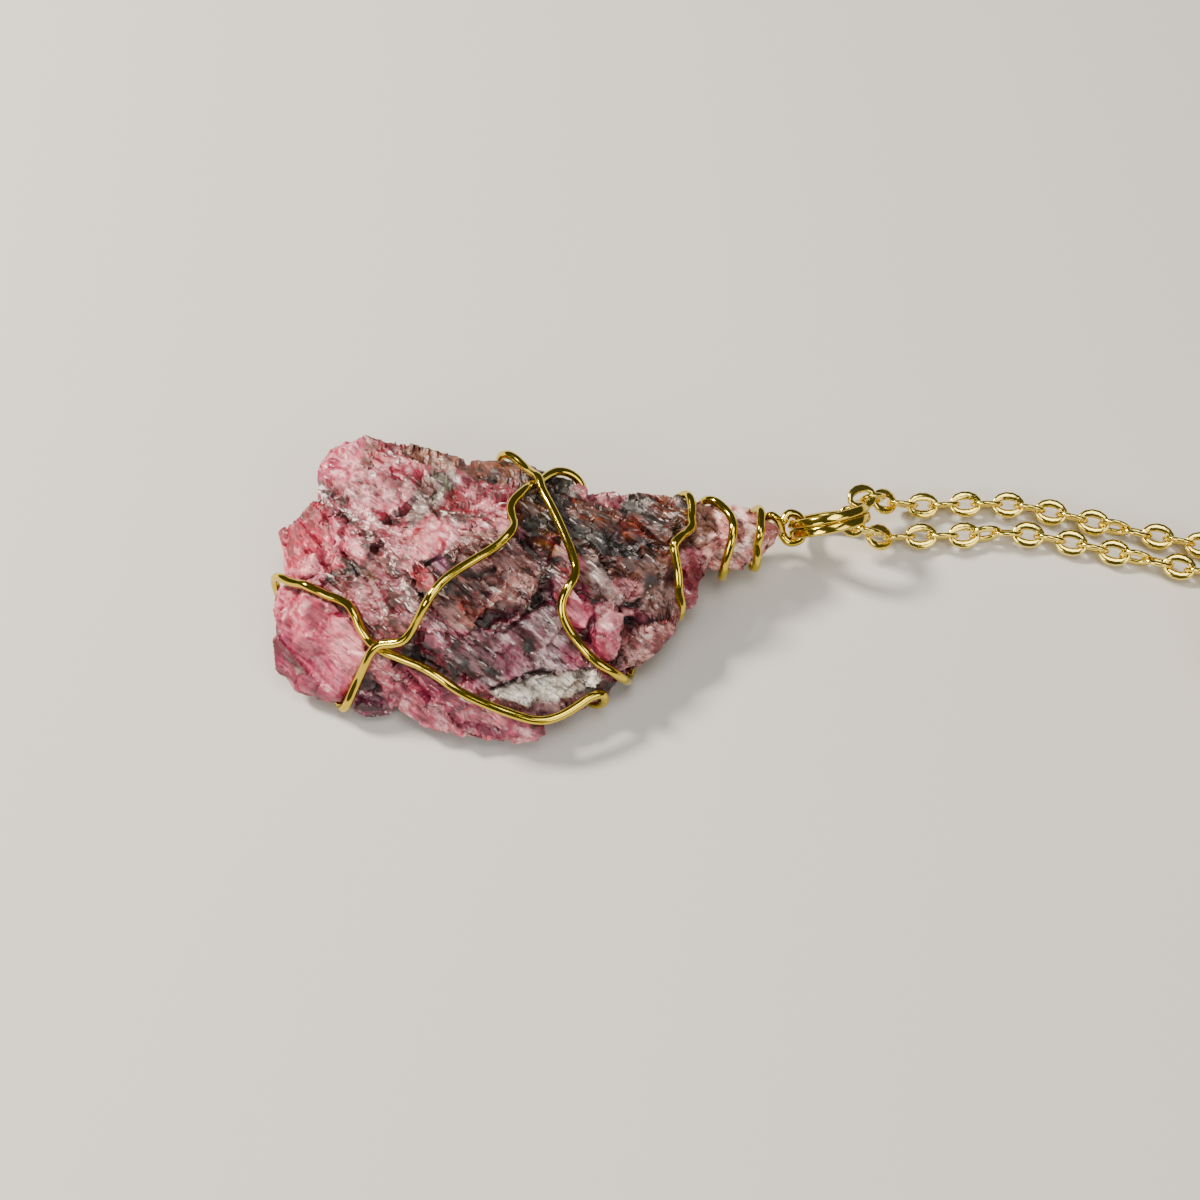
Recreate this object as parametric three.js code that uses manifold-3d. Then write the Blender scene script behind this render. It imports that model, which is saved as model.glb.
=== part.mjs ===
// A rough stone wrapped in wire as a pendant, with a split ring and a chain.
// Millimetres, +Z up. The origin is the middle of the stone's flat resting face;
// +X runs along the stone towards its narrow tip and the ring.
import * as THREE from 'three';
import { ConvexGeometry } from 'three/addons/geometries/ConvexGeometry.js';
import { TessellateModifier } from 'three/addons/modifiers/TessellateModifier.js';
import { mergeVertices } from 'three/addons/utils/BufferGeometryUtils.js';
import Module from 'manifold-3d';

const wasm = await Module();
wasm.setup();

// Corner points of the broken blocks that the stone is made of.
const stoneBlocks = {
  core: [
    [-13, 7, 5], [-13, -4, 4], [-9, -6, 3], [4, -9, 3], [11, -6, 3], [17, 0, 3.4], [18, 6, 4], [6, 9, 5],
    [-4, -4, 9], [5, -2, 9], [11, 1, 8], [-8, 4, 9], [-9.2, -2.6, 0], [-8, 4.6, 0], [2, 3.4, 0], [2.4, -4, 0],
  ],
  slab: [
    [-14.3, 8.9, 8.5], [-13.8, 12.3, 7.2], [-13.3, 14.4, 6.8], [-11.8, 15.4, 7.3], [-9.6, 14.9, 8.4],
    [-6.2, 13.8, 8.5], [2, 12.8, 8], [8.8, 10.3, 7.4], [-8.5, 1.9, 11], [-5.5, -2.2, 12],
    [-0.7, 0.4, 12.4], [3.7, 2.2, 11.6], [7.5, 3.3, 10.4], [-11, 12.5, 2.6], [4, 11, 2],
    [9, 8, 2.4], [-9.4, 3.5, 0], [-6.2, 6.4, 0], [1.4, 5.4, 0], [3.2, -0.6, 0], [2, -5.8, 0], [-7.6, -5.4, 0],
    [-14, 8, 3],
  ],
  flank: [
    [-14.3, 8.7, 8.2], [-8.5, 1.8, 10.8], [-5.5, -2.3, 11.8], [-3, -5.2, 10.4], [-5.7, -7.4, 7.4],
    [-9, -6.6, 6.4], [-16.4, 1, 5.4], [-16.2, 5.6, 6], [-14.5, 6, 2], [-15.4, 0, 2], [-8, -7, 0.5],
    [-3, -8, 0], [-8, 5, 0],
  ],
  leftKnob: [
    [-17.6, 7, 5], [-17.4, 5.4, 4.6], [-17.2, 2.6, 4.4], [-15.6, 6.6, 7.4], [-14.2, 3.5, 8.6],
    [-14.6, 1.2, 7.6], [-16.8, 6.8, 3], [-16.4, 1.6, 2.2], [-14, 8, 3], [-13, 2, 3], [-16.9, 1.2, 4.6],
  ],
  roundLump: [
    [-17.8, -4, 4], [-17.6, -0.5, 5], [-16.9, 0.6, 5.6], [-17.3, -5.9, 2.6], [-15.6, -6.9, 1.6],
    [-13.6, -8.1, 1.7], [-12.4, -8.6, 1.9], [-10.9, -8.8, 2], [-9.3, -6.6, 6.5], [-9.5, -5.6, 7.2],
    [-11.1, -2.5, 7.6], [-14.9, -5, 6], [-14.5, -0.5, 7.2], [-13, -7.6, 3.8], [-10.5, -8.4, 4.2],
    [-16.4, -3, 2], [-15.4, -5.4, 1.8], [-10, -5, 0.6], [-9, -3, 0], [-13, 0, 1.8],
  ],
  lowFill: [
    [-11.4, -6.8, 5.6], [-8, -7.6, 6.6], [-5.4, -8.2, 6.4], [-5.2, -9.6, 2], [-10.6, -8.4, 2.4],
    [-8, -9.2, 1.4], [-10, -4, 1], [-5, -5, 0.4], [-6, -5, 7],
  ],
  lowLump: [
    [-10.6, -8.6, 3], [-8.4, -8.8, 3.4], [-6.9, -9.2, 2.6], [-7.2, -9.8, 1], [-9.2, -9.9, 0.8],
    [-10.6, -9.3, 0.8], [-9, -7, 4], [-8, -3, 3], [-8, -4, 0],
  ],
  frontStrip: [
    [-6.1, -8, 7], [-1.9, -9.9, 6], [2, -11.2, 4.8], [6, -12.2, 3.8], [-6.7, -9.9, 2.2],
    [-4.6, -11.4, 1.9], [-2.9, -12.5, 1.7], [1.2, -12.9, 1.6], [5.2, -13.3, 1.6], [5.8, -13.1, 2.3],
    [-6, -7, 0], [2, -9, 0], [-2, -6, 0], [-3, -6, 7.5], [4, -8, 6],
  ],
  ledge: [
    [-5.4, -2.9, 12.3], [-0.7, 0.1, 12.9], [3.7, 2, 12], [6.3, -0.8, 10.8], [6.4, -2.9, 10],
    [3.8, -5.4, 10.1], [0.9, -7.6, 9.9], [-1.4, -6.5, 10.8], [-2.6, -4.6, 11.7], [0.6, -5.8, 7],
    [5.5, -2.5, 6], [-3, -3, 6], [4, 2, 6],
  ],
  scoop: [
    [0.7, -6.6, 8.2], [6.3, -2.6, 8.6], [7.5, -5.8, 7], [-3, -7.5, 8.2], [2.4, -10, 5.7],
    [8.4, -8.8, 5.6], [-1.8, -9.6, 6.2], [0, -9, 0], [9, -7, 1.5], [9, 0, 1.5], [-3, -6, 0], [10.6, -7, 5.2],
    [-4.6, -7.6, 7.6], [-3, -5, 10],
  ],
  shelf: [
    [2.4, -10, 5.2], [8.4, -8.9, 5.2], [11.6, -7.2, 5.2], [12.5, -7.8, 4.2], [12, -8.9, 3.4],
    [7.6, -11.6, 3.4],
    [2, -11.5, 4.4], [3, -10, 0.6], [8, -10, 1.6], [11, -7.5, 1.7], [5, -8, 1.4],
  ],
  brownFace: [
    [7.5, 3.3, 10.4], [8.8, 10.2, 7.4], [9.9, 9.8, 7.6], [12.6, 9.6, 7.4], [15.7, 9.1, 7],
    [20.4, 8.9, 6.4], [12.8, 3.6, 9.3], [18.1, 4.2, 7.6], [8.8, -1.2, 9.4], [14.5, -0.4, 8.2],
    [19, 1.9, 6.2], [17.9, -0.8, 4.8], [8, 7, 2], [17, 7, 2.8], [18, 0, 2.4], [10, -5, 1.5],
    [14, -3, 1.8], [6, 0, 1.5], [14, 5, 2], [11.6, -6.6, 4.4], [9, -6.6, 5.8], [15, -4.4, 3], [6, -1, 9.4],
  ],
  pinkChunkA: [
    [6.3, -0.8, 10], [7.7, -0.1, 9.9], [9.1, -2.1, 9.5], [10.5, -3.7, 8.4], [10.1, -5.3, 7.2],
    [8.8, -5.4, 6.9], [7.4, -3.2, 8.5], [6.5, -2.2, 9], [8, -3, 4], [10, -2, 4],
  ],
  pinkChunkB: [
    [10.3, -4.1, 7.8], [12, -3, 8.1], [13.8, -3.3, 7.4], [13.3, -5.2, 6], [12.7, -6.7, 4.8],
    [11, -6.8, 5.6], [9.8, -5.7, 6.8], [10, -4, 3], [13, -4, 2.5], [11, -7, 2.5],
  ],
  paleChunk: [
    [10.9, -0.5, 9.2], [12.7, 0.5, 9.2], [14.5, -0.2, 8.6], [14.7, -0.8, 8], [13.8, -2.3, 7.9],
    [12.3, -3, 8.1], [11, -2.4, 8.7], [12, -1, 5],
  ],
  rightSlab: [
    [12.6, -6.8, 4.6], [14.5, -4.6, 5.4], [15.8, -3.5, 5.6], [17.3, -2.6, 5], [17.6, -3, 4],
    [16.3, -4.5, 3.2], [14.5, -5.9, 2.4], [12.9, -7.3, 2.2], [11.2, -6.9, 4.8], [12, -3, 1.8],
    [12, -2, 4], [16, -1, 2.2],
  ],
  pinkEdge: [
    [19, 4, 6.6], [20.3, 3.5, 6], [20.6, 2.8, 5.4], [20.1, 1.5, 3.6], [19.7, 0.3, 2.6], [18.5, -0.4, 2.6],
    [17.7, -0.9, 4.6], [17.9, 1, 6], [16, 1, 1.8], [19, 4, 2.4], [16.4, 3, 6],
  ],
  tip: [
    [19.6, 8.9, 6.4], [23.1, 8.5, 6], [25, 8.7, 5.4], [25.9, 8.4, 4.9], [26.6, 8, 4.5],
    [26.8, 7.4, 4], [26.8, 6.7, 3.4], [26.5, 6.2, 3.2],
    [25.3, 5, 3.4], [24.4, 4.3, 3.3], [22, 3.7, 3.7], [19.9, 4.3, 6.6], [23, 5.4, 6.4],
    [25.8, 6.2, 5.2], [26.4, 7, 4.9], [18, 4, 2], [18, 8, 2.4], [24, 7.6, 2], [26.4, 7.2, 2],
    [17.4, 3.4, 6.6],
  ],
};

// Broken skin: longest and shortest triangle side, thinnest triangle, and depth and size of the lumps
// and of the finer grain.
const skinStep = 2.5;
const shortestEdge = 0.06;
const thinnestFace = 0.012;
const lumpDepth = 0.8;
const lumpSize = 3.4;
const grainDepth = 0.5;
const grainSize = 1.3;

// Wrapping wire: radius, sides, spacing of its bends, and the air left to the stone and to itself.
const wireRadius = 0.405;
const wireSides = 6;
const wireStep = 1.1;
const wireGap = 0.16;

// The wire's course from the eye at the tip to its tucked end: over the stone and back beneath it.
const wireCourse = [
  [27.1, 8.8, 4.4], [26.2, 8.9, 4.7], [26, 9.1, 3.6], [25.7, 8.5, 2.2], [25.2, 7, 1.5], [24.8, 5.2, 1.8],
  [24.6, 4.5, 2.7], [24.9, 4.9, 3.8], [25.1, 5.7, 5.7], [25.4, 7.6, 6.1],
  [25.2, 8.9, 5.4], [24.8, 9.3, 4], [23.8, 7.6, 1.5], [22.6, 5.2, 1.6], [21.8, 3.7, 2.6], [21.9, 4, 4.6],
  [22.6, 4.9, 6.4], [23, 6, 7], [22.7, 7.1, 6.9], [21.8, 8.4, 6.7], [20.5, 9.3, 6], [19.8, 9.5, 4.4],
  [19, 6, 1.4], [18.4, 2, 1.5], [18, -0.9, 2.4], [18, -0.9, 4], [17.8, 0.4, 6], [17.6, 1.8, 7.2],
  [17.2, 2.7, 8.5], [17.4, 3.3, 8.7], [18.5, 4.7, 7.9], [19, 6.1, 7.4], [19.1, 8.2, 7.5], [18.4, 9.4, 6.6],
  [17.4, 9.6, 4.6], [16, 6, 1.4], [14.8, 0, 1], [13.8, -5, 1], [13.4, -7.2, 2.2], [12.9, -7.8, 3.8],
  [12.2, -7.9, 4.8], [10.7, -7.6, 5.8], [9.4, -6.4, 6.7], [8.2, -4.7, 7.6], [7.9, -4.2, 8.2], [7.6, -3.5, 9],
  [7.9, -2.8, 9.5], [8.7, -1.9, 10.2], [9, -1, 10], [8.9, -0.1, 10], [8.4, 1.4, 10.4], [7.8, 3, 10.5],
  [7, 5, 10.6], [6.2, 6.7, 10.6], [5.3, 9, 10.2], [4.3, 10.9, 9.1], [3, 12.6, 8.7], [2, 13.4, 7.6],
  [2, 13.2, 5], [3.4, 11, 1.4], [5, 6, 0.6], [6.5, 0, 0.6], [8.6, -6, 0.7], [10.4, -9, 1.1],
  [11.2, -9.1, 2.6], [11, -8.9, 3.9], [10, -10, 4.1], [8.5, -11.1, 3.9], [7.1, -11.8, 3.7],
  [5.6, -12.1, 3.8], [3.9, -11.9, 4.4], [1.5, -11.3, 5.1], [-1.1, -10.5, 6.2], [-2.9, -9.4, 6.9],
  [-5.1, -8, 6.9], [-7.5, -6.9, 6.9], [-8.4, -6.3, 6.7], [-9.1, -5.7, 6.8], [-9.7, -5, 7.4], [-10, -4, 8],
  [-10.8, -2.9, 8.3], [-12.6, -2.1, 8.1], [-14.5, -1, 8], [-16.4, 0.2, 6.9], [-17.3, 1.1, 6.4],
  [-17.9, 1.6, 5.4], [-17.7, 1.2, 3.6], [-16.6, -0.6, 1.4], [-14.8, -3, 0.9], [-13, -6.4, 0.9],
  [-11.8, -9, 1], [-11.2, -9.9, 1.9], [-10.8, -9.5, 3], [-10, -8.5, 4.4], [-8.9, -7.5, 6.8],
  [-8.3, -6.9, 7.7],
  [-7.6, -6.8, 8.1], [-5.8, -7.2, 8.5], [-5, -6.5, 9.6], [-3.6, -5.3, 12.2], [-2.5, -3.8, 12.8],
  [-0.9, -2.3, 12.8], [2.2, 0.1, 12.6], [3.5, 1.7, 12.6], [3.6, 3, 12], [3.1, 4.6, 11.8], [3.2, 5.3, 11.7],
  [3.9, 6.3, 11.3], [4.8, 7.8, 10.2], [5.4, 8.7, 9.4], [6.3, 10.4, 8.6], [7.2, 11.4, 8], [8.2, 11.5, 7.6],
  [9.2, 11, 7], [9.6, 10.3, 5.8], [9.5, 9, 4], [9.3, 8, 2.6],
];

// Split ring: middle of the ring, mean radius, wire radius, pitch and number of turns; it leans on the tip.
const ringCentre = new THREE.Vector3(31.85, 8.8, 3.7);
const ringAxis = new THREE.Vector3(-0.18, 0.753, 0.632).normalize();
const ringLong = new THREE.Vector3(0.983, 0.15, 0.1);
const ringRadius = 3.42;
const ringWireRadius = 0.41;
const ringPitch = 0.88;
const ringTurns = 1.94;
const ringSteps = 46;

// Eye in the wire's end, round the ring: half height and half width of the loop,
// its sideways climb and its angles.
const eyeHigh = 1.42;
const eyeWide = 1.02;
const eyeClimb = 0.55;
const eyeStart = 150;
const eyeStep = 32.5;

// Chain: half width of its links, the two strands from the ring out over the table, and the coil of the rest.
const chainRadius = 1.1;
const chainSides = 8;
const chainSteps = 58;
const chainTurn = 2.35;
const upperStrand = [
  [37.2, 11.6, 3.4], [40.7, 12, 1.8], [44.9, 12.4, 1.3], [49, 12.3, 1.2], [52.7, 11.5, 1.2],
  [56.7, 10.3, 1.2],
  [61.8, 8.9, 1.2], [65.7, 7.9, 1.2], [69.5, 7.2, 1.2], [73.6, 7, 1.2],
];
const lowerStrand = [
  [36.8, 8.3, 1.9], [40.5, 8.8, 1.3], [44.4, 8.9, 1.2], [47.8, 9.2, 1.2], [50.2, 9, 1.2], [54.1, 8.1, 1.2],
  [58, 7, 1.2], [63.3, 5.6, 1.2], [65.3, 5, 1.2], [68, 4.7, 1.2], [70.7, 4.6, 1.2],
];
const coilCentre = new THREE.Vector3(82, -6.6, 0);
const coilInside = 10.1;
const coilOutside = 14.7;
const coilHeight = 7.2;

// Clasp and clasp ring, lying on the coil.
const claspLength = 9;
const claspWidth = 4.6;
const claspThick = 1.6;
const claspWall = 1.1;
const claspPlace = new THREE.Vector3(93.2, -3.4, 7.5);
const claspRingRadius = 1.9;
const claspRingWire = 0.45;
const claspRingPlace = new THREE.Vector3(93.6, -11.6, 8);

const gold = { color: 0xc9a53f, roughness: 0.25, metalness: 1 };
const colours = {
  stone: { color: 0xb5667a, roughness: 0.5, metalness: 0 },
  wire: gold,
  ring: { color: 0xb8913a, roughness: 0.25, metalness: 1 },
  chain: { color: 0xb3914a, roughness: 0.3, metalness: 1 },
};

const group = new THREE.Group();

function addMesh(name, geometry, look) {
  const mesh = new THREE.Mesh(geometry, new THREE.MeshStandardMaterial(look));
  mesh.name = name;
  group.add(mesh);
  return mesh;
}

// A closed solid of a three.js geometry.
function solidOf(geometry) {
  const plain = geometry.clone();
  plain.deleteAttribute('normal');
  plain.deleteAttribute('uv');
  const merged = mergeVertices(plain, 1e-4);
  return new wasm.Manifold(new wasm.Mesh({
    numProp: 3,
    vertProperties: new Float32Array(merged.attributes.position.array),
    triVerts: new Uint32Array(merged.index.array),
  }));
}

function geometryOf(solid) {
  const mesh = solid.getMesh();
  const geometry = new THREE.BufferGeometry();
  geometry.setAttribute('position', new THREE.BufferAttribute(mesh.vertProperties, 3));
  geometry.setIndex(new THREE.BufferAttribute(mesh.triVerts, 1));
  geometry.computeVertexNormals();
  return geometry;
}

function blockOf(points) {
  return solidOf(new ConvexGeometry(points.map((p) => new THREE.Vector3(...p))));
}

// The outermost skin of a solid, without loose crumbs and without hollows sealed inside it.
function outerSkin(solid) {
  const mesh = solid.getMesh();
  const leader = Array.from({ length: mesh.vertProperties.length / 3 }, (_, i) => i);
  const find = (i) => {
    let k = i;
    while (leader[k] !== k) {
      leader[k] = leader[leader[k]];
      k = leader[k];
    }
    return k;
  };
  for (let t = 0; t < mesh.triVerts.length; t += 3) {
    leader[find(mesh.triVerts[t])] = find(mesh.triVerts[t + 1]);
    leader[find(mesh.triVerts[t + 1])] = find(mesh.triVerts[t + 2]);
  }
  const shells = new Map();
  for (let t = 0; t < mesh.triVerts.length; t += 3) {
    const shell = find(mesh.triVerts[t]);
    shells.set(shell, (shells.get(shell) ?? []).concat(...mesh.triVerts.slice(t, t + 3)));
  }
  const largest = [...shells.values()].sort((a, b) => b.length - a.length)[0];
  return new wasm.Manifold(new wasm.Mesh({
    numProp: 3,
    vertProperties: mesh.vertProperties,
    triVerts: new Uint32Array(largest),
  }));
}

// Edges of a face list: each with the faces on its two sides.
function sharedEdges(faces) {
  const edges = new Map();
  faces.forEach((face, t) => {
    for (let k = 0; k < 3; k += 1) {
      const [a, b] = [face[k], face[(k + 1) % 3]];
      const key = a < b ? `${a}_${b}` : `${b}_${a}`;
      edges.set(key, (edges.get(key) ?? []).concat({ t, k }));
    }
  });
  return edges;
}

// Draws the two ends of each short edge into one corner, where that leaves the skin whole.
function drawnTogether(points, faces, shortest) {
  const around = points.map(() => new Set());
  faces.forEach((face) => face.forEach((a) => face.forEach((b) => around[a].add(b))));
  const pairs = [];
  faces.forEach((face) => face.forEach((a, k) => {
    const b = face[(k + 1) % 3];
    if (a < b && points[a].distanceTo(points[b]) < shortest) {
      pairs.push([a, b]);
    }
  }));
  const held = new Set();
  const becomes = points.map((_, i) => i);
  for (const [a, b] of pairs) {
    const shared = [...around[a]].filter((c) => c !== a && c !== b && around[b].has(c));
    const near = [...around[a], ...around[b]];
    if (shared.length !== 2 || near.some((c) => held.has(c))) {
      continue;
    }
    near.forEach((c) => held.add(c));
    points[a].lerp(points[b], 0.5);
    becomes[b] = a;
  }
  const joined = faces.map((face) => face.map((i) => becomes[i]));
  return joined.filter(([a, b, c]) => a !== b && b !== c && c !== a);
}

// Turns the long edge of each needle-thin face, so that the face joins its neighbour.
function turnedThin(points, faces, thinnest) {
  const edges = sharedEdges(faces);
  const held = new Set();
  const result = faces.map((face) => [...face]);
  faces.forEach((face, t) => {
    const lengths = face.map((a, k) => points[a].distanceTo(points[face[(k + 1) % 3]]));
    const k = lengths.indexOf(Math.max(...lengths));
    const [a, b, tip] = [face[k], face[(k + 1) % 3], face[(k + 2) % 3]];
    const area = new THREE.Triangle(points[a], points[b], points[tip]).getArea();
    const sides = edges.get(a < b ? `${a}_${b}` : `${b}_${a}`);
    const other = sides.find((side) => side.t !== t);
    if ((2 * area) / lengths[k] > thinnest || sides.length !== 2 || held.has(t) || held.has(other.t)) {
      return;
    }
    const far = faces[other.t][(other.k + 2) % 3];
    if (edges.has(tip < far ? `${tip}_${far}` : `${far}_${tip}`)) {
      return;
    }
    held.add(t).add(other.t);
    result[t] = [a, far, tip];
    result[other.t] = [far, b, tip];
  });
  return result;
}

// The same solid without splinters: short edges drawn together and needle-thin faces turned.
function withoutSplinters(solid, shortest, thinnest) {
  const mesh = solid.getMesh();
  const points = [];
  for (let i = 0; i < mesh.vertProperties.length; i += 3) {
    points.push(new THREE.Vector3().fromArray(mesh.vertProperties, i));
  }
  let faces = [];
  for (let t = 0; t < mesh.triVerts.length; t += 3) {
    faces.push([...mesh.triVerts.slice(t, t + 3)]);
  }
  for (let round = 0; round < 12; round += 1) {
    faces = drawnTogether(points, faces, shortest);
    faces = turnedThin(points, faces, thinnest);
  }
  const used = [...new Set(faces.flat())];
  const place = new Map(used.map((i, k) => [i, k]));
  return new wasm.Manifold(new wasm.Mesh({
    numProp: 3,
    vertProperties: new Float32Array(used.flatMap((i) => points[i].toArray())),
    triVerts: new Uint32Array(faces.flat().map((i) => place.get(i))),
  }));
}

// A repeatable number between -1 and 1 for a lattice point.
function latticeValue(i, j, k, channel) {
  const wave = Math.sin(i * 127.1 + j * 311.7 + k * 74.7 + channel * 53.3) * 43758.5453;
  return 2 * (wave - Math.floor(wave)) - 1;
}

// Smooth noise: lattice values blended between the eight lattice points around the place.
function noiseAt(point, wavelength, channel) {
  const place = point.clone().divideScalar(wavelength);
  const base = place.clone().floor();
  const part = place.clone().sub(base);
  let sum = 0;
  for (let corner = 0; corner < 8; corner += 1) {
    const [i, j, k] = [corner & 1, (corner >> 1) & 1, corner >> 2];
    const share = (i ? part.x : 1 - part.x) * (j ? part.y : 1 - part.y) * (k ? part.z : 1 - part.z);
    sum += share * latticeValue(base.x + i, base.y + j, base.z + k, channel);
  }
  return sum;
}

// Cuts the flat faces into small triangles and moves their corners, so the skin is rough and broken;
// the resting face stays flat.
function roughened(geometry) {
  const rough = new TessellateModifier(skinStep, 12).modify(geometry.toNonIndexed());
  const corner = rough.attributes.position;
  const point = new THREE.Vector3();
  for (let i = 0; i < corner.count; i += 1) {
    point.fromBufferAttribute(corner, i);
    const ease = THREE.MathUtils.smoothstep(point.z, 0.05, 1.5);
    const shift = [0, 1, 2].map((axis) => (
      lumpDepth * noiseAt(point, lumpSize, axis) + grainDepth * noiseAt(point, grainSize, axis + 3)));
    corner.setXYZ(i, point.x + ease * shift[0], point.y + ease * shift[1], point.z + ease * shift[2]);
  }
  return rough;
}

let stone = null;
for (const points of Object.values(stoneBlocks)) {
  const block = blockOf(points);
  stone = stone === null ? block : stone.add(block);
}
stone = outerSkin(stone);
stone = outerSkin(solidOf(roughened(geometryOf(stone))));

// A round bar along a curve: a many-sided disc carried along it, closed at both ends.
function barAlong(curve, radius, sides, steps) {
  const corners = [];
  for (let k = 0; k < sides; k += 1) {
    const angle = (k / sides) * 2 * Math.PI;
    corners.push(new THREE.Vector2(radius * Math.cos(angle), radius * Math.sin(angle)));
  }
  return new THREE.ExtrudeGeometry(new THREE.Shape(corners), { steps, extrudePath: curve });
}

// Triangles of a geometry, each with a ball round it for quick searches.
function trianglesOf(geometry) {
  const corner = geometry.toNonIndexed().attributes.position;
  const list = [];
  for (let i = 0; i < corner.count; i += 3) {
    const triangle = new THREE.Triangle(
      new THREE.Vector3().fromBufferAttribute(corner, i),
      new THREE.Vector3().fromBufferAttribute(corner, i + 1),
      new THREE.Vector3().fromBufferAttribute(corner, i + 2),
    );
    const middle = triangle.getMidpoint(new THREE.Vector3());
    const reach = Math.max(...[triangle.a, triangle.b, triangle.c].map((p) => p.distanceTo(middle)));
    list.push({ triangle, middle, reach, normal: triangle.getNormal(new THREE.Vector3()) });
  }
  return list;
}

// Moves a point straight away from the nearest skin until it clears it.
function clearOf(triangles, point, clearance) {
  let best = Infinity;
  let facing = 0;
  const nearest = new THREE.Vector3();
  const place = new THREE.Vector3();
  const away = new THREE.Vector3();
  for (const { triangle, middle, reach, normal } of triangles) {
    if (point.distanceTo(middle) - reach > best + 1e-6) {
      continue;
    }
    triangle.closestPointToPoint(point, place);
    const distance = point.distanceTo(place);
    const side = away.copy(point).sub(place).normalize().dot(normal);
    if (distance < best - 1e-6 || (distance < best + 1e-6 && Math.abs(side) > Math.abs(facing))) {
      best = Math.min(best, distance);
      facing = side;
      nearest.copy(place);
    }
  }
  const outside = facing >= 0;
  if (outside && best >= clearance) {
    return;
  }
  away.copy(point).sub(nearest).normalize().multiplyScalar(outside ? clearance : -clearance);
  point.copy(nearest).add(away);
}

// Pulls the wire over the stone: it stays clear of the stone, of the table and of its own other turns.
function pulledWire(course, triangles) {
  const curve = new THREE.CatmullRomCurve3(course, false, 'centripetal');
  const count = Math.round(curve.getLength() / wireStep);
  const points = curve.getSpacedPoints(count);
  for (let round = 0; round < 16; round += 1) {
    for (let i = 1; i < count; i += 1) {
      const between = points[i - 1].clone().add(points[i + 1]).multiplyScalar(0.5);
      points[i].lerp(between, 0.03);
    }
    for (let i = 0; i <= count; i += 1) {
      for (let j = i + 6; j <= count; j += 1) {
        const gap = points[j].distanceTo(points[i]);
        if (gap < 2 * wireRadius + wireGap) {
          const part = points[j].clone().sub(points[i]).setLength((2 * wireRadius + wireGap - gap) / 2);
          points[j].add(part);
          points[i].sub(part);
        }
      }
    }
    for (const point of points) {
      clearOf(triangles, point, wireRadius + wireGap);
      point.z = Math.max(point.z, wireRadius + 0.1);
    }
  }
  return points;
}

// The eye: an oval loop round the ring's end, climbing sideways so that its ends pass each other.
const ringAcross = new THREE.Vector3().crossVectors(ringAxis, ringLong);
const eyeCentre = ringCentre.clone().addScaledVector(ringLong, -ringRadius);
const wirePoints = [];
for (let k = 0; k <= 10; k += 1) {
  const angle = THREE.MathUtils.degToRad(eyeStart - eyeStep * k);
  wirePoints.push(eyeCentre.clone()
    .addScaledVector(ringLong, eyeWide * Math.cos(angle))
    .addScaledVector(ringAxis, eyeHigh * Math.sin(angle))
    .addScaledVector(ringAcross, eyeClimb * (k / 5 - 1)));
}
const course = wireCourse.map((p) => new THREE.Vector3(...p));
wirePoints.push(...pulledWire(course, trianglesOf(geometryOf(stone))));
const wireCurve = new THREE.CatmullRomCurve3(wirePoints, false, 'centripetal');
const wireSteps = Math.round(wireCurve.getLength() / wireStep);
addMesh('wire_wrap', barAlong(wireCurve, wireRadius, wireSides, wireSteps), colours.wire);

// Small points of the stone that still reach the wire are worn away beneath it.
const wirePath = barAlong(wireCurve, wireRadius + wireGap / 2, wireSides, wireSteps);
stone = withoutSplinters(outerSkin(stone.subtract(solidOf(wirePath))), shortestEdge, thinnestFace);
addMesh('stone', geometryOf(stone), colours.stone);

// The split ring: one bar wound in a flat coil of nearly two turns.
const ringPoints = [];
for (let k = 0; k <= ringSteps; k += 1) {
  const angle = (k / ringSteps) * ringTurns * 2 * Math.PI + 0.9;
  ringPoints.push(ringCentre.clone()
    .addScaledVector(ringLong, ringRadius * Math.cos(angle))
    .addScaledVector(ringAcross, ringRadius * Math.sin(angle))
    .addScaledVector(ringAxis, ringPitch * ringTurns * (k / ringSteps - 0.5)));
}
const ringCurve = new THREE.CatmullRomCurve3(ringPoints, false, 'centripetal');
addMesh('split_ring', barAlong(ringCurve, ringWireRadius, 6, ringSteps), colours.ring);

// The chain's run: out of the coil, through the ring round its far rim, and back to the coil.
const rimCentre = ringCentre.clone().addScaledVector(ringLong, ringRadius);
const chainPoints = upperStrand.toReversed().map((p) => new THREE.Vector3(...p));
for (let k = 0; k <= 4; k += 1) {
  const angle = (k / 4) * Math.PI;
  chainPoints.push(rimCentre.clone()
    .addScaledVector(ringAxis, chainTurn * Math.cos(angle))
    .addScaledVector(ringLong, -chainTurn * Math.sin(angle)));
}
chainPoints.push(...lowerStrand.map((p) => new THREE.Vector3(...p)));
const chainCurve = new THREE.CatmullRomCurve3(chainPoints, false, 'centripetal');
addMesh('chain_run', barAlong(chainCurve, chainRadius, chainSides, chainSteps), colours.chain);

// The rest of the chain, wound up: one ring with rounded edges.
const coilProfile = [
  [coilInside, 0.9], [coilInside + 0.9, 0], [coilOutside - 0.9, 0], [coilOutside, 0.9],
  [coilOutside, coilHeight - 0.9], [coilOutside - 0.9, coilHeight], [coilInside + 0.9, coilHeight],
  [coilInside, coilHeight - 0.9], [coilInside, 0.9],
].map(([r, z]) => new THREE.Vector2(r, z));
const coil = new THREE.LatheGeometry(coilProfile, 32);
coil.rotateX(Math.PI / 2);
coil.translate(coilCentre.x, coilCentre.y, coilCentre.z);
addMesh('chain_coil', coil, colours.chain);

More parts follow.
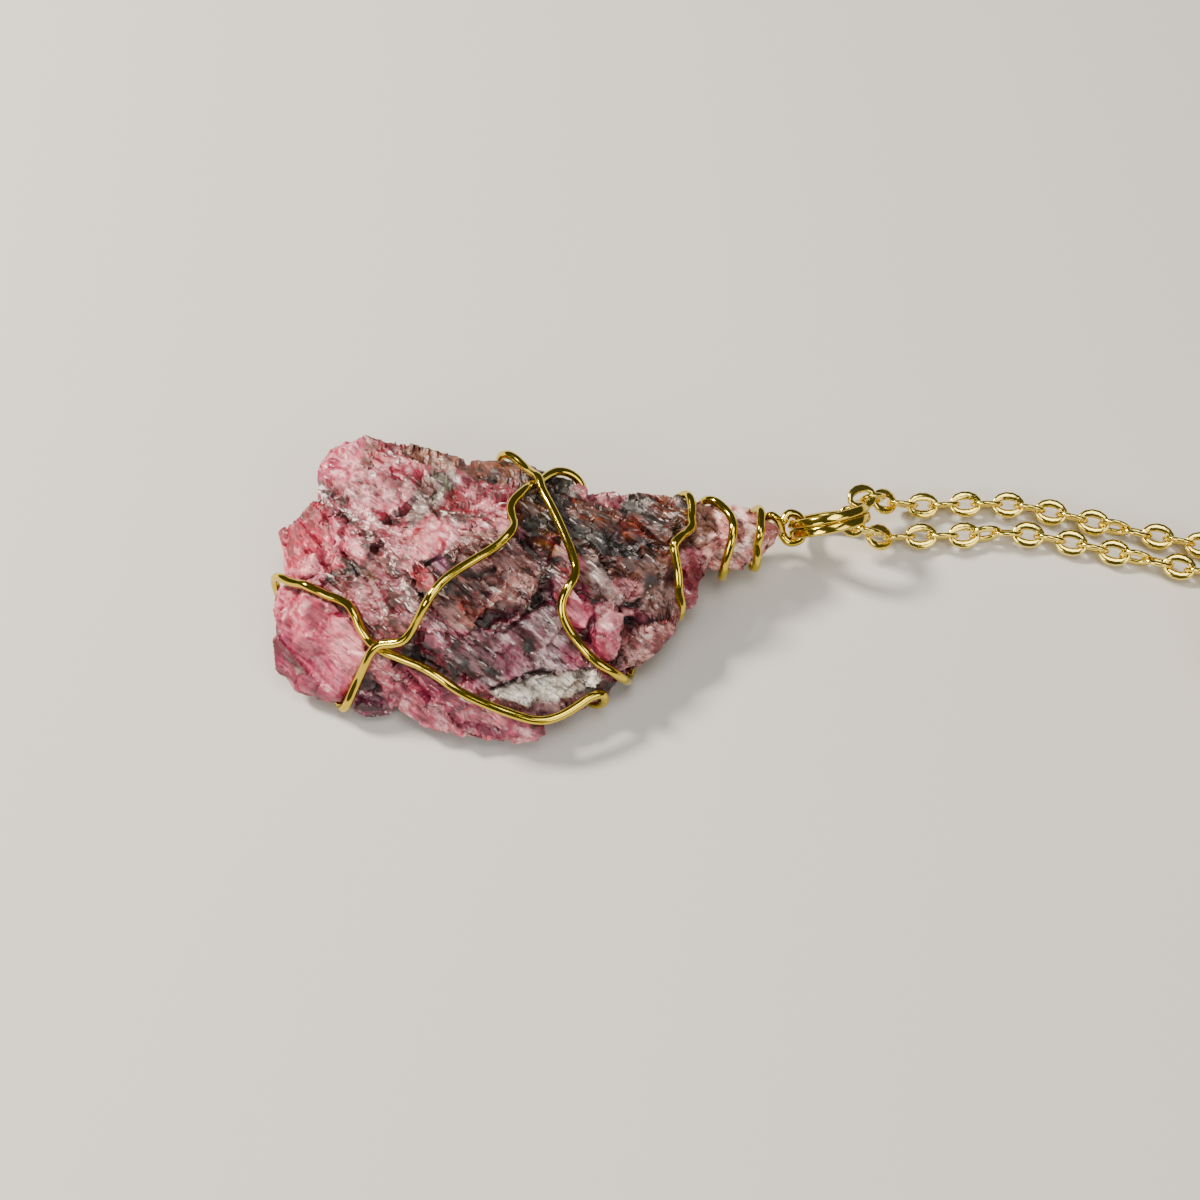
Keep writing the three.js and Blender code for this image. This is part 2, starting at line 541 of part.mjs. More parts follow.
// The clasp: a flat oval hook body with an opening; and the small closed ring it hooks into.
const claspShape = new THREE.Shape();
claspShape.absellipse(0, 0, claspWidth / 2, claspLength / 2, 0, 2 * Math.PI);
const claspHole = new THREE.Path();
claspHole.absellipse(0, 0, claspWidth / 2 - claspWall, claspLength / 2 - claspWall, 0, 2 * Math.PI, true);
claspShape.holes.push(claspHole);
const claspDepth = { depth: claspThick, bevelEnabled: false, curveSegments: 8 };
const clasp = new THREE.ExtrudeGeometry(claspShape, claspDepth);
clasp.translate(claspPlace.x, claspPlace.y, claspPlace.z);
addMesh('clasp', clasp, colours.chain);
const claspRing = new THREE.TorusGeometry(claspRingRadius, claspRingWire, 6, 16);
claspRing.translate(claspRingPlace.x, claspRingPlace.y, claspRingPlace.z);
addMesh('clasp_ring', claspRing, colours.chain);

export default group;
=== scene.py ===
import math
import bpy
import numpy as np
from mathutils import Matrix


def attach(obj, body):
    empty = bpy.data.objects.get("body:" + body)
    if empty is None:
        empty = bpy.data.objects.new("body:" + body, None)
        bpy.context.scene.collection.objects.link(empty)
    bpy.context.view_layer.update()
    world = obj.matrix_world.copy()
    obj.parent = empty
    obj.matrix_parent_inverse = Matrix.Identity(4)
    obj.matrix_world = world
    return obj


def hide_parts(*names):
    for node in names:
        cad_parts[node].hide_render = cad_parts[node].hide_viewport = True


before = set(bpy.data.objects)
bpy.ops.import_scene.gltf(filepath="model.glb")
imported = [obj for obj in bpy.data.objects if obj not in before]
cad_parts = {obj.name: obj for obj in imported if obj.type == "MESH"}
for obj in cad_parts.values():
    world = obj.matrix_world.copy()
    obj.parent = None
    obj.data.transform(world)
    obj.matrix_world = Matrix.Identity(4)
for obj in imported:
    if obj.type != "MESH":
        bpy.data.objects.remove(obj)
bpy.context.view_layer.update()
mm = 0.001  # pieces are worked out in mm, Blender takes metres


def linearColor(text):  # sRGB hex to linear light
    parts = [int(text[i:i + 2], 16) / 255 for i in (0, 2, 4)]
    return [p / 12.92 if p <= 0.04045 else ((p + 0.055) / 1.055) ** 2.4 for p in parts] + [1.0]


def unit(v):  # vectors at length one
    return v / np.maximum(np.linalg.norm(v, axis=-1, keepdims=True), 1e-12)


def ramp(value, low, high):  # 0 below low, 1 above high, smooth between
    t = np.clip((value - low) / (high - low), 0, 1)
    return t * t * (3 - 2 * t)


def latticeValue(cell, seed):  # one repeatable number in 0..1 for each lattice cell
    i, j, k = (cell[..., a].astype(np.int64) for a in range(3))
    n = (i * 374761393 + j * 668265263 + k * 1440662683 + seed * 974634777) & 0xFFFFFFFF
    n = ((n ^ (n >> 13)) * 1274126177) & 0xFFFFFFFF
    n = ((n ^ (n >> 16)) * 2246822519) & 0xFFFFFFFF
    return ((n >> 8) & 0xFFFF) / 65535.0


def smoothNoise(points, size, seed):  # lattice values blended over the eight cells around, -1..1
    place = points / size
    base = np.floor(place)
    t = place - base
    t = t * t * (3 - 2 * t)
    total = np.zeros(len(points))
    for corner in np.ndindex(2, 2, 2):
        c = np.array(corner)
        total += np.prod(np.where(c, t, 1 - t), axis=1) * latticeValue(base + c, seed)
    return 2 * total - 1


def layeredNoise(points, size, seed, layers=4):  # noise at halving sizes, halving strength
    return sum(smoothNoise(points, size / 2 ** k, seed + k) / 2 ** k for k in range(layers))


def brokenFacets(points, size, seed):  # each point takes the tilted plane of its nearest random seed point
    base = np.floor(points / size)
    best = np.full(len(points), np.inf)
    height = np.zeros(len(points))
    shade = np.zeros(len(points))
    for step in np.ndindex(3, 3, 3):
        cell = base + np.array(step) - 1
        spot = np.stack([latticeValue(cell, seed + a) for a in range(3)], 1)
        tilt = np.stack([latticeValue(cell, seed + 3 + a) for a in range(3)], 1) * 2 - 1
        away = points / size - cell - spot
        distance = (away ** 2).sum(1)
        nearer = distance < best
        best = np.where(nearer, distance, best)
        height = np.where(nearer, (away * tilt).sum(1), height)
        shade = np.where(nearer, latticeValue(cell, seed + 7), shade)
    return height, shade


# a smooth-shaded object at the origin, from points in metres and lists of corners
def makeMesh(name, points, faces):
    mesh = bpy.data.meshes.new(name)
    mesh.from_pydata(np.asarray(points).tolist(), [], faces)
    mesh.polygons.foreach_set("use_smooth", np.full(len(mesh.polygons), True))
    mesh.update()
    piece = bpy.data.objects.new(name, mesh)
    bpy.context.scene.collection.objects.link(piece)
    return piece


def gridFaces(rows, columns, closeRows=False):  # quads of a grid whose columns always join up
    i = np.arange(rows if closeRows else rows - 1)[:, None]
    j = np.arange(columns)[None, :]
    nextI, nextJ = (i + 1) % rows, (j + 1) % columns
    corners = [i * columns + j, i * columns + nextJ, nextI * columns + nextJ, nextI * columns + j]
    return np.stack([c + 0 * (i + j) for c in corners], -1).reshape(-1, 4)


def smoothPath(points, perSpan):  # curve through the points, each span a cubic led by its neighbours
    p = np.asarray(points, float)
    p = np.vstack([2 * p[0] - p[1], p, 2 * p[-1] - p[-2]])
    t = np.linspace(0, 1, perSpan, endpoint=False)[None, :, None]
    a, b, c, d = (p[k:len(p) - 3 + k, None, :] for k in range(4))
    square, cube = 2 * a - 5 * b + 4 * c - d, 3 * b - a - 3 * c + d
    curve = 0.5 * (2 * b + (c - a) * t + square * t ** 2 + cube * t ** 3)
    return np.vstack([curve.reshape(-1, 3), p[-2]])


def alongPath(path, distances):  # points at given lengths along a path
    steps = np.linalg.norm(np.diff(path, axis=0), axis=1)
    length = np.concatenate([[0], np.cumsum(steps)])
    return np.stack([np.interp(distances, length, path[:, a]) for a in range(3)], 1)


def pathLength(path):  # sum of the steps between its points
    return np.linalg.norm(np.diff(path, axis=0), axis=1).sum()


def carriedFrames(path, firstSide):  # side and up vectors carried along a path without twist
    tangent = unit(np.gradient(path, axis=0))
    side = np.empty_like(path)
    last = np.asarray(firstSide, float)
    for k, t in enumerate(tangent):
        last = last - t * (last @ t)
        last = last / np.linalg.norm(last)
        side[k] = last
    return tangent, side, np.cross(tangent, side)


# a closed profile carried along a path, capped at both ends
def barMesh(name, path, profile, firstSide, size=1.0):
    tangent, side, up = carriedFrames(path, firstSide)
    size = np.broadcast_to(size, len(path))[:, None, None]
    spread = profile[None, :, :1] * side[:, None, :] + profile[None, :, 1:] * up[:, None, :]
    ring = path[:, None, :] + size * spread
    count = len(profile)
    faces = gridFaces(len(path), count).tolist()
    last = (len(path) - 1) * count
    faces += [list(range(count))[::-1], list(range(last, last + count))]
    return makeMesh(name, ring.reshape(-1, 3), faces)


def roundProfile(radius, sides):  # points on a circle
    angle = np.arange(sides) / sides * 2 * np.pi
    return radius * np.stack([np.cos(angle), np.sin(angle)], 1)


def flatProfile(wide, high, corner):  # a rectangle with rounded corners, four points to a corner
    angle = np.radians(np.arange(4) * 30 + np.arange(4)[:, None] * 90)
    middle = np.array([(1, 1), (-1, 1), (-1, -1), (1, -1)]) * np.array([wide / 2 - corner, high / 2 - corner])
    return (middle[:, None, :] + corner * np.stack([np.cos(angle), np.sin(angle)], 2)).reshape(-1, 2)


def addNode(tree, kind, **values):  # a node with its sockets and settings filled in
    node = tree.nodes.new("ShaderNode" + kind)
    for key, value in values.items():
        if hasattr(node, key) and key not in node.inputs:
            setattr(node, key, value)
        else:
            byNumber = key[0] == "i" and key[1:].isdigit()
            socket = node.inputs[int(key[1:]) if byNumber else key.replace("_", " ")]
            if isinstance(value, bpy.types.NodeSocket):
                tree.links.new(value, socket)
            else:
                socket.default_value = value
    return node


def newMaterial(name):  # a node material, its tree and its main shader
    material = bpy.data.materials.new(name)
    material.use_nodes = True
    return material, material.node_tree, material.node_tree.nodes["Principled BSDF"]


# stone: rays from a line inside the CAD stone find its skin; the skin is then broken up finely
stoneSpec = {  # lengths in mm
    "axisX": [-11.0, 0.0, 10.0, 18.0, 23.5], "axisY": [1.5, 0.5, 1.5, 4.6, 6.4],
    "axisZ": [4.4, 5.0, 4.8, 4.4, 4.2],
    "leftRows": 84, "middleRows": 224, "rightRows": 42, "columns": 268, "endLeans": (89.3, 89.0),
    "testRays": 200, "leastStep": 0.06, "seenShare": 1.4, "view": [0.0, -0.537, 0.843], "shareBlur": 8,
    "easeTurns": 6, "easeShare": 0.8, "easeReach": (0.45, 1.1),
    "grain": [0.78, -0.58, -0.22], "grainDraw": 0.62, "largeFacet": 2.1, "smallFacet": 0.75,
    "largeDepth": 0.95, "smallDepth": 0.26, "cleavage": [0.5, 0.75, -0.2], "terrace": 0.85,
    "terraceDepth": 0.16,
    "wander": 0.5, "wanderSize": 2.6, "gritSize": 0.5, "gritDepth": 0.03, "fibreDepth": 0.06,
    "glassyLarge": 0.45, "glassySmooth": 0.75, "glassyRise": 0.28, "sink": 0.15,
    "pressFrom": -0.1, "pressTop": 0.16, "deepest": -1.2, "rim": (-0.8, -0.3), "foot": (0.02, 0.9),
    "wireBed": 0.12, "wireReach": 0.6, "wireSlope": 0.9, "wireGap": 0.04, "wireDeepest": -0.5,
    "sharpEdge": 24.0,
}


def nodeTriangles(node):  # corner points of a CAD node's triangles, mm
    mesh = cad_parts[node].data
    mesh.calc_loop_triangles()
    points = np.empty(len(mesh.vertices) * 3)
    mesh.vertices.foreach_get("co", points)
    corners = np.empty(len(mesh.loop_triangles) * 3, int)
    mesh.loop_triangles.foreach_get("vertices", corners)
    return (points.reshape(-1, 3) / mm)[corners].reshape(-1, 3, 3)


def farthestHit(origin, rays, triangles):  # distance along each ray to the outermost triangle it meets
    a, e1, e2 = triangles[:, 0], triangles[:, 1] - triangles[:, 0], triangles[:, 2] - triangles[:, 0]
    h = np.cross(rays[:, None, :], e2[None])
    det = (e1[None] * h).sum(-1)
    det = np.where(np.abs(det) < 1e-9, 1e-9, det)
    s = origin - a
    u = (s[None] * h).sum(-1) / det
    q = np.cross(s, e1)
    v = (rays @ q.T) / det
    t = (e2 * q).sum(-1)[None] / det
    inside = (u > -1e-6) & (v > -1e-6) & (u + v < 1 + 1e-6) & (t > 0)
    return np.where(inside, t, 0).max(1)


def stoneSkin():  # rows of rays: a half ball at each end, flat fans between, all from a bent line inside
    triangles = nodeTriangles("stone")
    low, high = triangles.min(1), triangles.max(1)
    axisX, columns = stoneSpec["axisX"], stoneSpec["columns"]
    leftLean, rightLean = (math.radians(lean) for lean in stoneSpec["endLeans"])
    xs = np.linspace(axisX[0], axisX[-1], stoneSpec["middleRows"])
    rows = [(xs[0], -lean) for lean in np.linspace(leftLean, 0, stoneSpec["leftRows"], endpoint=False)]
    rows += [(x, 0.0) for x in xs]
    rows += [(xs[-1], lean) for lean in np.linspace(0, rightLean, stoneSpec["rightRows"] + 1)[1:]]

    def castRow(x, lean, angle):  # where a fan of rays from the line leaves the stone
        origin = np.array([x, np.interp(x, axisX, stoneSpec["axisY"]),
                           np.interp(x, axisX, stoneSpec["axisZ"])])
        across = math.cos(lean)
        rays = np.stack([0 * angle + math.sin(lean), np.cos(angle) * across, np.sin(angle) * across], 1)
        if lean == 0:
            ahead = (low[:, 0] <= x) & (high[:, 0] >= x)
        else:
            ahead = high[:, 0] >= x if lean > 0 else low[:, 0] <= x
        return origin + rays * farthestHit(origin, rays, triangles[ahead])[:, None], rays

    even = np.linspace(0, 2 * np.pi, stoneSpec["testRays"]) - np.pi / 2
    shares = []
    for x, lean in rows:  # how the row's length is shared out, with more for the side that is seen
        section, rays = castRow(x, lean, even)
        step = np.linalg.norm(np.diff(section, axis=0), axis=1) + stoneSpec["leastStep"]
        seen = 1 + stoneSpec["seenShare"] * ramp(rays @ np.array(stoneSpec["view"]), -0.1, 0.5)[1:]
        shares.append(step * seen / (step * seen).sum())
    shares = np.array(shares)
    blur = stoneSpec["shareBlur"]
    padded = np.vstack([shares[:1].repeat(blur, 0), shares, shares[-1:].repeat(blur, 0)])
    shares = sum(padded[k:k + len(rows)] for k in range(2 * blur + 1)) / (2 * blur + 1)
    skin = []
    for (x, lean), share in zip(rows, shares):
        reached = np.concatenate([[0], np.cumsum(share)])
        angle = np.interp(np.arange(columns) / columns, reached, even)
        skin.append(castRow(x, lean, angle)[0])
    return eased(np.stack(skin))


# where neighbouring points lie far apart, they move towards the mean of their four neighbours
def eased(grid):
    for turn in range(stoneSpec["easeTurns"]):
        up, down = np.vstack([grid[:1], grid[:-1]]), np.vstack([grid[1:], grid[-1:]])
        left, right = np.roll(grid, 1, 1), np.roll(grid, -1, 1)
        reach = np.max([np.linalg.norm(n - grid, axis=2) for n in (up, down, left, right)], axis=0)
        share = stoneSpec["easeShare"] * ramp(reach, *stoneSpec["easeReach"])[:, :, None]
        grid = grid * (1 - share) + share * (up + down + left + right) / 4
    return grid


def gridNormals(grid):  # outward normals: the two ways along the grid, crossed
    along = np.gradient(grid, axis=0)
    around = (np.roll(grid, -1, 1) - np.roll(grid, 1, 1)) / 2
    return unit(np.cross(around, along))


# wire: the middle of each ring of corners of the CAD bar, walked from the eye's end
wireSpec = {
    "radius": 0.405, "sides": 14, "perSpan": 4, "cadSides": 6,
    "eyeStart": 150.0, "eyeWide": 1.02, "eyeHigh": 1.42, "eyeClimb": 0.55,
}


def barMiddles(node, sides, start):  # steps from ring to ring over the bar's edges and averages each ring
    triangles = nodeTriangles(node)
    points, index = np.unique(np.round(triangles.reshape(-1, 3), 4), axis=0, return_inverse=True)
    index = index.reshape(-1, 3)
    edges = np.vstack([index[:, [0, 1]], index[:, [1, 2]], index[:, [2, 0]]])
    edges = np.vstack([edges, edges[:, ::-1]])
    done = np.zeros(len(points), bool)
    ring = np.argsort(np.linalg.norm(points - start, axis=1))[:sides]
    middles = []
    while len(ring):
        done[ring] = True
        middles.append(points[ring].mean(0))
        reached = np.zeros(len(points), bool)
        reached[edges[np.isin(edges[:, 0], ring), 1]] = True
        ring = np.flatnonzero(reached & ~done)
    return np.array(middles)


ringSpec = {
    "centre": np.array([31.85, 8.8, 3.7]), "axis": unit(np.array([-0.18, 0.753, 0.632])),
    "long": np.array([0.983, 0.15, 0.1]), "radius": 3.42, "thick": 0.72, "high": 0.82, "pitch": 0.88,
    "turns": 1.94, "corner": 0.2, "start": 0.9, "steps": 190,
}
ringSpec["across"] = np.cross(ringSpec["axis"], ringSpec["long"])

eyeAngle = math.radians(wireSpec["eyeStart"])
eyeOut = wireSpec["eyeWide"] * math.cos(eyeAngle) - ringSpec["radius"]
eyeUp = wireSpec["eyeHigh"] * math.sin(eyeAngle)
wireStart = ringSpec["centre"] + eyeOut * ringSpec["long"] + eyeUp * ringSpec["axis"]
wireStart = wireStart - wireSpec["eyeClimb"] * ringSpec["across"]
wireMiddles = barMiddles("wire_wrap", wireSpec["cadSides"], wireStart)
wirePath = smoothPath(wireMiddles, wireSpec["perSpan"])
print("wire rings", len(wireMiddles), "length mm", round(pathLength(wirePath), 1))


stonePaint = {  # places in mm on the picture plane: u to the right, w up; tones dark, middle, light
    "plane": 195.3, "eye": [11.0, -105.9, 170.4], "up": [0.0, 0.8434, 0.5373], "back": [0.0, -0.5373, 0.8434],
    "middle": 2.276,
    "body": ("4a242b", "864854", "c48593"), "brownBody": ("271915", "48312a", "7a584f"), "brownSize": 6.0,
    "brownShare": 0.7,
    "whiteTint": "e6d6d8", "darkTint": "2c1a15", "crackShadeTint": "120d0c", "greenTint": "6b7264",
    "redTint": "743830",
    "veil": 0.03, "seen": (-0.35, 0.0), "wander": 0.3, "wanderSize": 1.2, "cloudSize": 2.4, "fineSize": 0.7,
    "fibreSize": 0.8, "fibreDraw": 0.88, "edge": 0.16, "streaks": (2.4, 0.3), "darkStreaks": (1.5, 0.26),
    # painted glints: white specks about this size, in mm
    "paintedGlintSize": 0.33,
    "regions": [  # outline, tones, white streaks, dark streaks, streak direction in degrees, lift in mm
        ([(-14, 12.4), (-11, 17), (-4, 17), (4, 14), (4, 9), (-2, 7), (-6, 4.4), (-8.6, 6.6), (-11.4, 9.6)],
         ("55272e", "8e4c56", "cf919a"), 0.5, 0.4, -45, 0.0),
        ([(-7, 16.6), (-3.5, 16), (0.5, 15.8), (4.5, 13.6), (2.5, 12.3), (-0.5, 13.2), (-4, 14.2),
          (-6, 14.8)],
         ("33201c", "573a34", "866259"), 0.15, 0.3, -30, 0.0),
        ([(-14, 12.6), (-12.8, 15), (-11, 17), (-9.7, 16.3), (-10.3, 15), (-10.6, 14), (-10.8, 12.6),
          (-12.2, 12.6)],
         ("98475a", "c96f81", "efb0bb"), 0.3, 0.05, -60, 0.1),
        ([(-6.2, 10.6), (-4.2, 13.2), (-2.2, 13.9), (-1.2, 13), (-2.6, 11), (-4.4, 9.6), (-6, 8.8)],
         ("584846", "8a7677", "c6b6b7"), 0.7, 0.5, -35, 0.0),
        ([(-6.2, 8.6), (-4.8, 9.2), (-2.6, 9.6), (-1.4, 8.4), (-2.5, 7), (-4, 6.2), (-5.5, 6.6)],
         ("a55a62", "c9848d", "e8b5bd"), 0.4, 0.15, -45, 0.05),
        ([(-9.9, 8.6), (-8.6, 8.2), (-7.6, 7), (-8.6, 6.4), (-9.8, 7.4)], ("4c262c", "6d3a42", "8c555d"), 0.3,
         0.2, -45, -0.1),
        ([(-13.2, 4.8), (-11.8, 6), (-10.2, 6), (-8.2, 5.2), (-6.4, 3.4), (-4.6, 0.4), (-5.6, -1.6),
          (-8.5, -2), (-9.7, 0.5), (-10.2, 2),
          (-11.5, 3.5)], ("553134", "7e4b52", "ac777f"), 0.35, 0.45, -52, 0.0),
        ([(-12.2, 6), (-10.6, 5.7), (-9, 4.6), (-8.4, 3.9), (-10, 4.1), (-11.8, 4.7)],
         ("33201e", "4f332f", "7a5a54"), 0.3, 0.4, -50, -0.15),
        ([(-12.8, 9.4), (-12.3, 7.7), (-11.5, 6.5), (-10, 5.9), (-9.8, 6.9), (-11, 8.2), (-12, 9.5)],
         ("b5606c", "d48793", "eab4bc"), 0.35, 0.1, -50, 0.1),
        ([(-18, 8.4), (-15.2, 9.4), (-14.2, 11), (-13.2, 11), (-12.6, 8), (-12.4, 6.6), (-11.6, 5.2),
          (-13.5, 4.6), (-18, 3.6)],
         ("853944", "b85c6a", "e09aa4"), 0.28, 0.14, -60, 0.0),
        ([(-19, 2.5), (-16.8, 3.6), (-15.5, 3), (-12.5, 1.7), (-10.6, 0.8), (-9.6, -1.6), (-9.8, -3.8),
          (-11.2, -6), (-12, -8), (-19, -8)],
         ("8a3d4d", "bb6273", "e099a4"), 0.18, 0.14, -35, 0.0),
        ([(-19, 0.9), (-17.3, 0.6), (-15.5, -0.7), (-13.3, -1.9), (-12, -3.7), (-10.8, -4.5), (-11.3, -6.2),
          (-12.3, -8), (-19, -8)],
         ("6a2c40", "964c5e", "b9707f"), 0.08, 0.12, -35, 0.0),
        ([(-12.6, -0.6), (-11.2, -0.4), (-10, -1.4), (-9.8, -3), (-10.6, -4), (-11.6, -3), (-12.6, -1.6)],
         ("b8626f", "d07f8a", "e2a0a8"), 0.12, 0.05, -35, 0.08),
        ([(-11.2, -6.6), (-9.4, -5.2), (-8, -5.6), (-6.6, -6.6), (-7, -9), (-11, -9)],
         ("4f2c38", "7c4a5a", "a87c88"), 0.3, 0.3, -20, 0.0),
        ([(-8.3, -2.6), (-6.4, -3.2), (-4, -4.6), (-1, -5.8), (2, -6.9), (4.6, -7.8), (6, -12), (-3, -12),
          (-7.2, -7.3), (-9.3, -4.7)],
         ("894859", "bb707c", "dca9af"), 0.4, 0.18, -35, 0.0),
        ([(-6, 5), (-4, 6.3), (-1.5, 8), (2, 8.8), (4, 7.8), (5.5, 6), (6, 4.4), (5.2, 3), (3.5, 1.5),
          (1.7, 1.2), (0, -0.5), (-2, 0), (-3.5, 1.5)],
         ("452c2a", "6b4745", "957270"), 0.5, 0.5, -40, 0.0),
        ([(-6, 5), (-4.6, 5.7), (-3.4, 4.8), (-3, 3.2), (-4, 2.3), (-5.2, 3.6)],
         ("7a3c40", "a25a5f", "c68689"), 0.12, 0.1, -60, 0.1),
        ([(-3.6, 6.4), (-2.6, 6.2), (-2, 5.2), (-2.8, 4.5), (-3.7, 5.4)], ("6e4a5a", "91687a", "b9949f"), 0.2,
         0.1, -50, 0.0),
        ([(-1.6, 2.4), (0, 2.8), (1.6, 1.8), (1.5, 0.6), (0.2, -0.1), (-1.4, 0.5)],
         ("623733", "8a554e", "af8178"), 0.12, 0.15, -30, 0.08),
        ([(1.6, 2.6), (2.6, 4), (4.8, 5), (6, 4.4), (5.4, 3), (3.6, 1.8)], ("573936", "7d5553", "a07c78"),
         0.14, 0.15, -50, 0.06),
        ([(0.5, -0.5), (4.5, 0.8), (6.5, 2), (7.7, 1), (8.3, -0.8), (9.8, -2.2), (10.5, -3.6), (8, -4),
          (4, -4.8), (1.5, -5.2), (-2.4, -4), (-2.8, -2)],
         ("4a3034", "8b626a", "d8bdc2"), 0.9, 0.55, -46, 0.0),
        ([(2, -1.6), (3.6, -1.6), (4.8, -3), (4.4, -4.4), (3, -4.6), (1.8, -3.4)],
         ("7e4654", "a56b7a", "d0a3ac"), 0.6, 0.4, -46, 0.05),
        ([(7.2, -1.4), (8.2, -1.6), (9.6, -2.8), (9.2, -3.8), (8, -3.4)], ("7e4654", "a56b7a", "d0a3ac"),
         0.55, 0.4, -46, 0.05),
        ([(4.5, -6.6), (7.6, -6.2), (9.6, -5.6), (11.6, -4.4), (12, -6), (9, -8), (5, -8.4)],
         ("3c2628", "65454a", "9a7a80"), 0.4, 0.4, 15, -0.1),
        ([(1.2, -5.6), (4, -4.9), (7, -4.2), (10.5, -3.8), (11.2, -4.5), (9.5, -5.8), (7.5, -6.5),
          (4.5, -6.8), (2, -6.2)],
         ("8c8278", "cfc6bc", "faf6ee"), 0.6, 0.5, 12, 0.06),
        ([(3, 10.5), (4, 13.5), (9, 14), (20, 12), (20.5, 8), (19.5, 6.7), (17.5, 6), (14, 6), (10, 6.4),
          (7.5, 8)],
         ("1c0d09", "3c2018", "684539"), 0.25, 0.35, -15, 0.0),
        ([(3, 9.8), (4.5, 12.4), (7, 13), (8, 9.5), (7.8, 8.4), (5, 8)], ("1a0e0a", "36201a", "5e4238"), 0.25,
         0.3, -40, -0.08),
        ([(8.5, 14), (11, 14), (13.5, 11.8), (13, 10.9), (10.5, 11.2), (8.8, 11.5)],
         ("673c42", "935a62", "c28b91"), 0.25, 0.15, -12, 0.0),
        ([(12.6, 9.3), (14.4, 9.8), (16, 9.2), (15.7, 8), (13.8, 7.9), (12.8, 8.4)],
         ("43211c", "683a32", "8c5c52"), 0.12, 0.2, -12, 0.05),
        ([(6.5, 7.6), (8.5, 9), (12, 8.3), (14.6, 7.6), (16.8, 7.2), (16, 6.2), (12, 6.2), (9, 6)],
         ("170d09", "331f18", "5c4439"), 0.4, 0.25, -10, -0.1),
        ([(4.6, 8), (6.4, 7.6), (7.6, 6.6), (6.6, 6.2), (5, 6.8)], ("50301f", "74482f", "98704f"), 0.1, 0.2,
         -30, 0.0),
        ([(9.6, 6), (13, 6), (16.8, 6), (17.8, 2), (17, 0.8), (13.8, 1.6), (11, 2.2), (9.4, 4)],
         ("38231e", "694a44", "a98a85"), 0.6, 0.5, -30, 0.0),
        ([(10, 5), (11.4, 5.2), (12.2, 4), (11.9, 2.6), (10.6, 3)], ("574544", "836d6d", "bfaeae"), 0.6, 0.3,
         -40, 0.0),
        ([(12, 4.2), (13.6, 4.2), (14.8, 3.6), (14, 2.5), (12.2, 2.6)], ("8f5459", "b57a7e", "d6a6a9"), 0.3,
         0.1, -30, 0.1),
        ([(18.3, 6.5), (19.7, 7), (20.6, 5.8), (20.6, 3.5), (20, 0.8), (18.3, 0.8), (18, 3)],
         ("82404a", "a65f69", "c98d95"), 0.2, 0.1, -70, 0.0),
        ([(19.5, 11.5), (22.5, 11), (28, 10), (28, 6), (24, 5), (20.5, 4.8), (20, 7), (19.6, 8.5)],
         ("b47c7a", "e2b0ab", "ffe2dc"), 0.35, 0.1, -20, 0.0),
        ([(19, 11.2), (21, 10.8), (21.4, 9.2), (20.2, 7.2), (19.3, 7.2)], ("573a33", "8a645a", "b8938a"),
         0.25, 0.25, -20, 0.0),
        ([(7.6, 4.4), (9, 3), (10.3, 2), (10.6, 0.8), (9.9, -0.9), (8.4, -0.5), (7.8, 1)],
         ("9a475a", "d67d8e", "ffc0ca"), 0.25, 0.15, -50, 0.1),
        ([(6.2, 4.3), (7.5, 4.4), (8.6, 3.4), (7.8, 1.6), (6.2, 2)], ("6e3a48", "975968", "c08e99"), 0.35,
         0.2, -50, 0.0),
        ([(9.6, -1), (10.8, 0.2), (12.7, -0.3), (13, -1.8), (12.2, -3), (11, -3.2), (10, -2)],
         ("97485a", "c97887", "f0b7c0"), 0.25, 0.12, -60, 0.1),
        ([(10.7, 1.3), (11.8, 2.1), (13.8, 1.2), (13.2, 0.2), (12, -0.3), (10.9, 0.2)],
         ("c07a84", "dda3a9", "f3d3d6"), 0.3, 0.05, -30, 0.12),
        ([(12.8, -3.4), (12.9, -1.2), (13.6, 0.3), (16, 0.5), (17.4, 0.7), (18.4, -0.2), (17, -3), (15, -5),
          (13.4, -4.4)],
         ("3e1f1d", "804a4c", "cd9f9c"), 0.45, 0.5, -30, 0.0),
    ],
    "whiteLines": [([(-13.2, 11.9), (-11, 10.3), (-9.5, 8.9), (-8, 7.6), (-7, 6.3), (-6.5, 4.5), (-5.7, 2.5),
                     (-4.9, 0.8)], 0.75),
                   ([(-4.3, 0.3), (-2.8, -2), (-1.6, -3.2)], 0.5),
                   ([(-15.2, 6.4), (-14.6, 7.6), (-14, 9)], 0.22),
                   ([(-17.2, 0.8), (-15.5, -0.4), (-13.2, -1.6), (-12, -3.4), (-10.7, -4.2)], 0.3),
                   ([(3.6, 7.5), (5.5, 6.5), (6, 4.6)], 0.5), ([(-2.6, 10.2), (-1.5, 9)], 0.35),
                   ([(-13.4, 11.4), (-12.6, 9.4)], 0.25)],
    # cracks: real recesses, painted dark with the shade that falls in them
    "shadedCracks": [([(1.5, 0.9), (3.4, 0.9), (5, 1.6), (6.3, 2.6)], 0.4), ([(-0.4, -0.6), (1.6, 0.9)], 0.3),
               ([(-9.6, -4.5), (-8.6, -5.4)], 0.4),
               ([(6.2, 4.4), (6.3, 2.4)], 0.25), ([(13.4, 1.9), (14.8, 2.4)], 0.25),
               ([(13.3, 0.3), (16.8, 0.9)], 0.25),
               ([(-6, 4.9), (-5, 3.4), (-4.2, 2.2)], 0.22), ([(-1.6, 4.5), (0.4, 4.8), (1.6, 5.2)], 0.3),
               ([(1.6, -5.3), (4.2, -4.6), (7, -4)], 0.2),
               ([(10.4, 0.6), (9.9, -1)], 0.2), ([(12.9, -3), (13, -0.6)], 0.2)],
    "specks": [(0.8, -3.0), (1.2, -3.6), (-1.9, -3.9), (-2.1, -4.6), (-3.2, 13.2), (-10.4, 5.2), (12.2, 7.0),
               (16.2, 6.4), (-12.8, 4.2)],
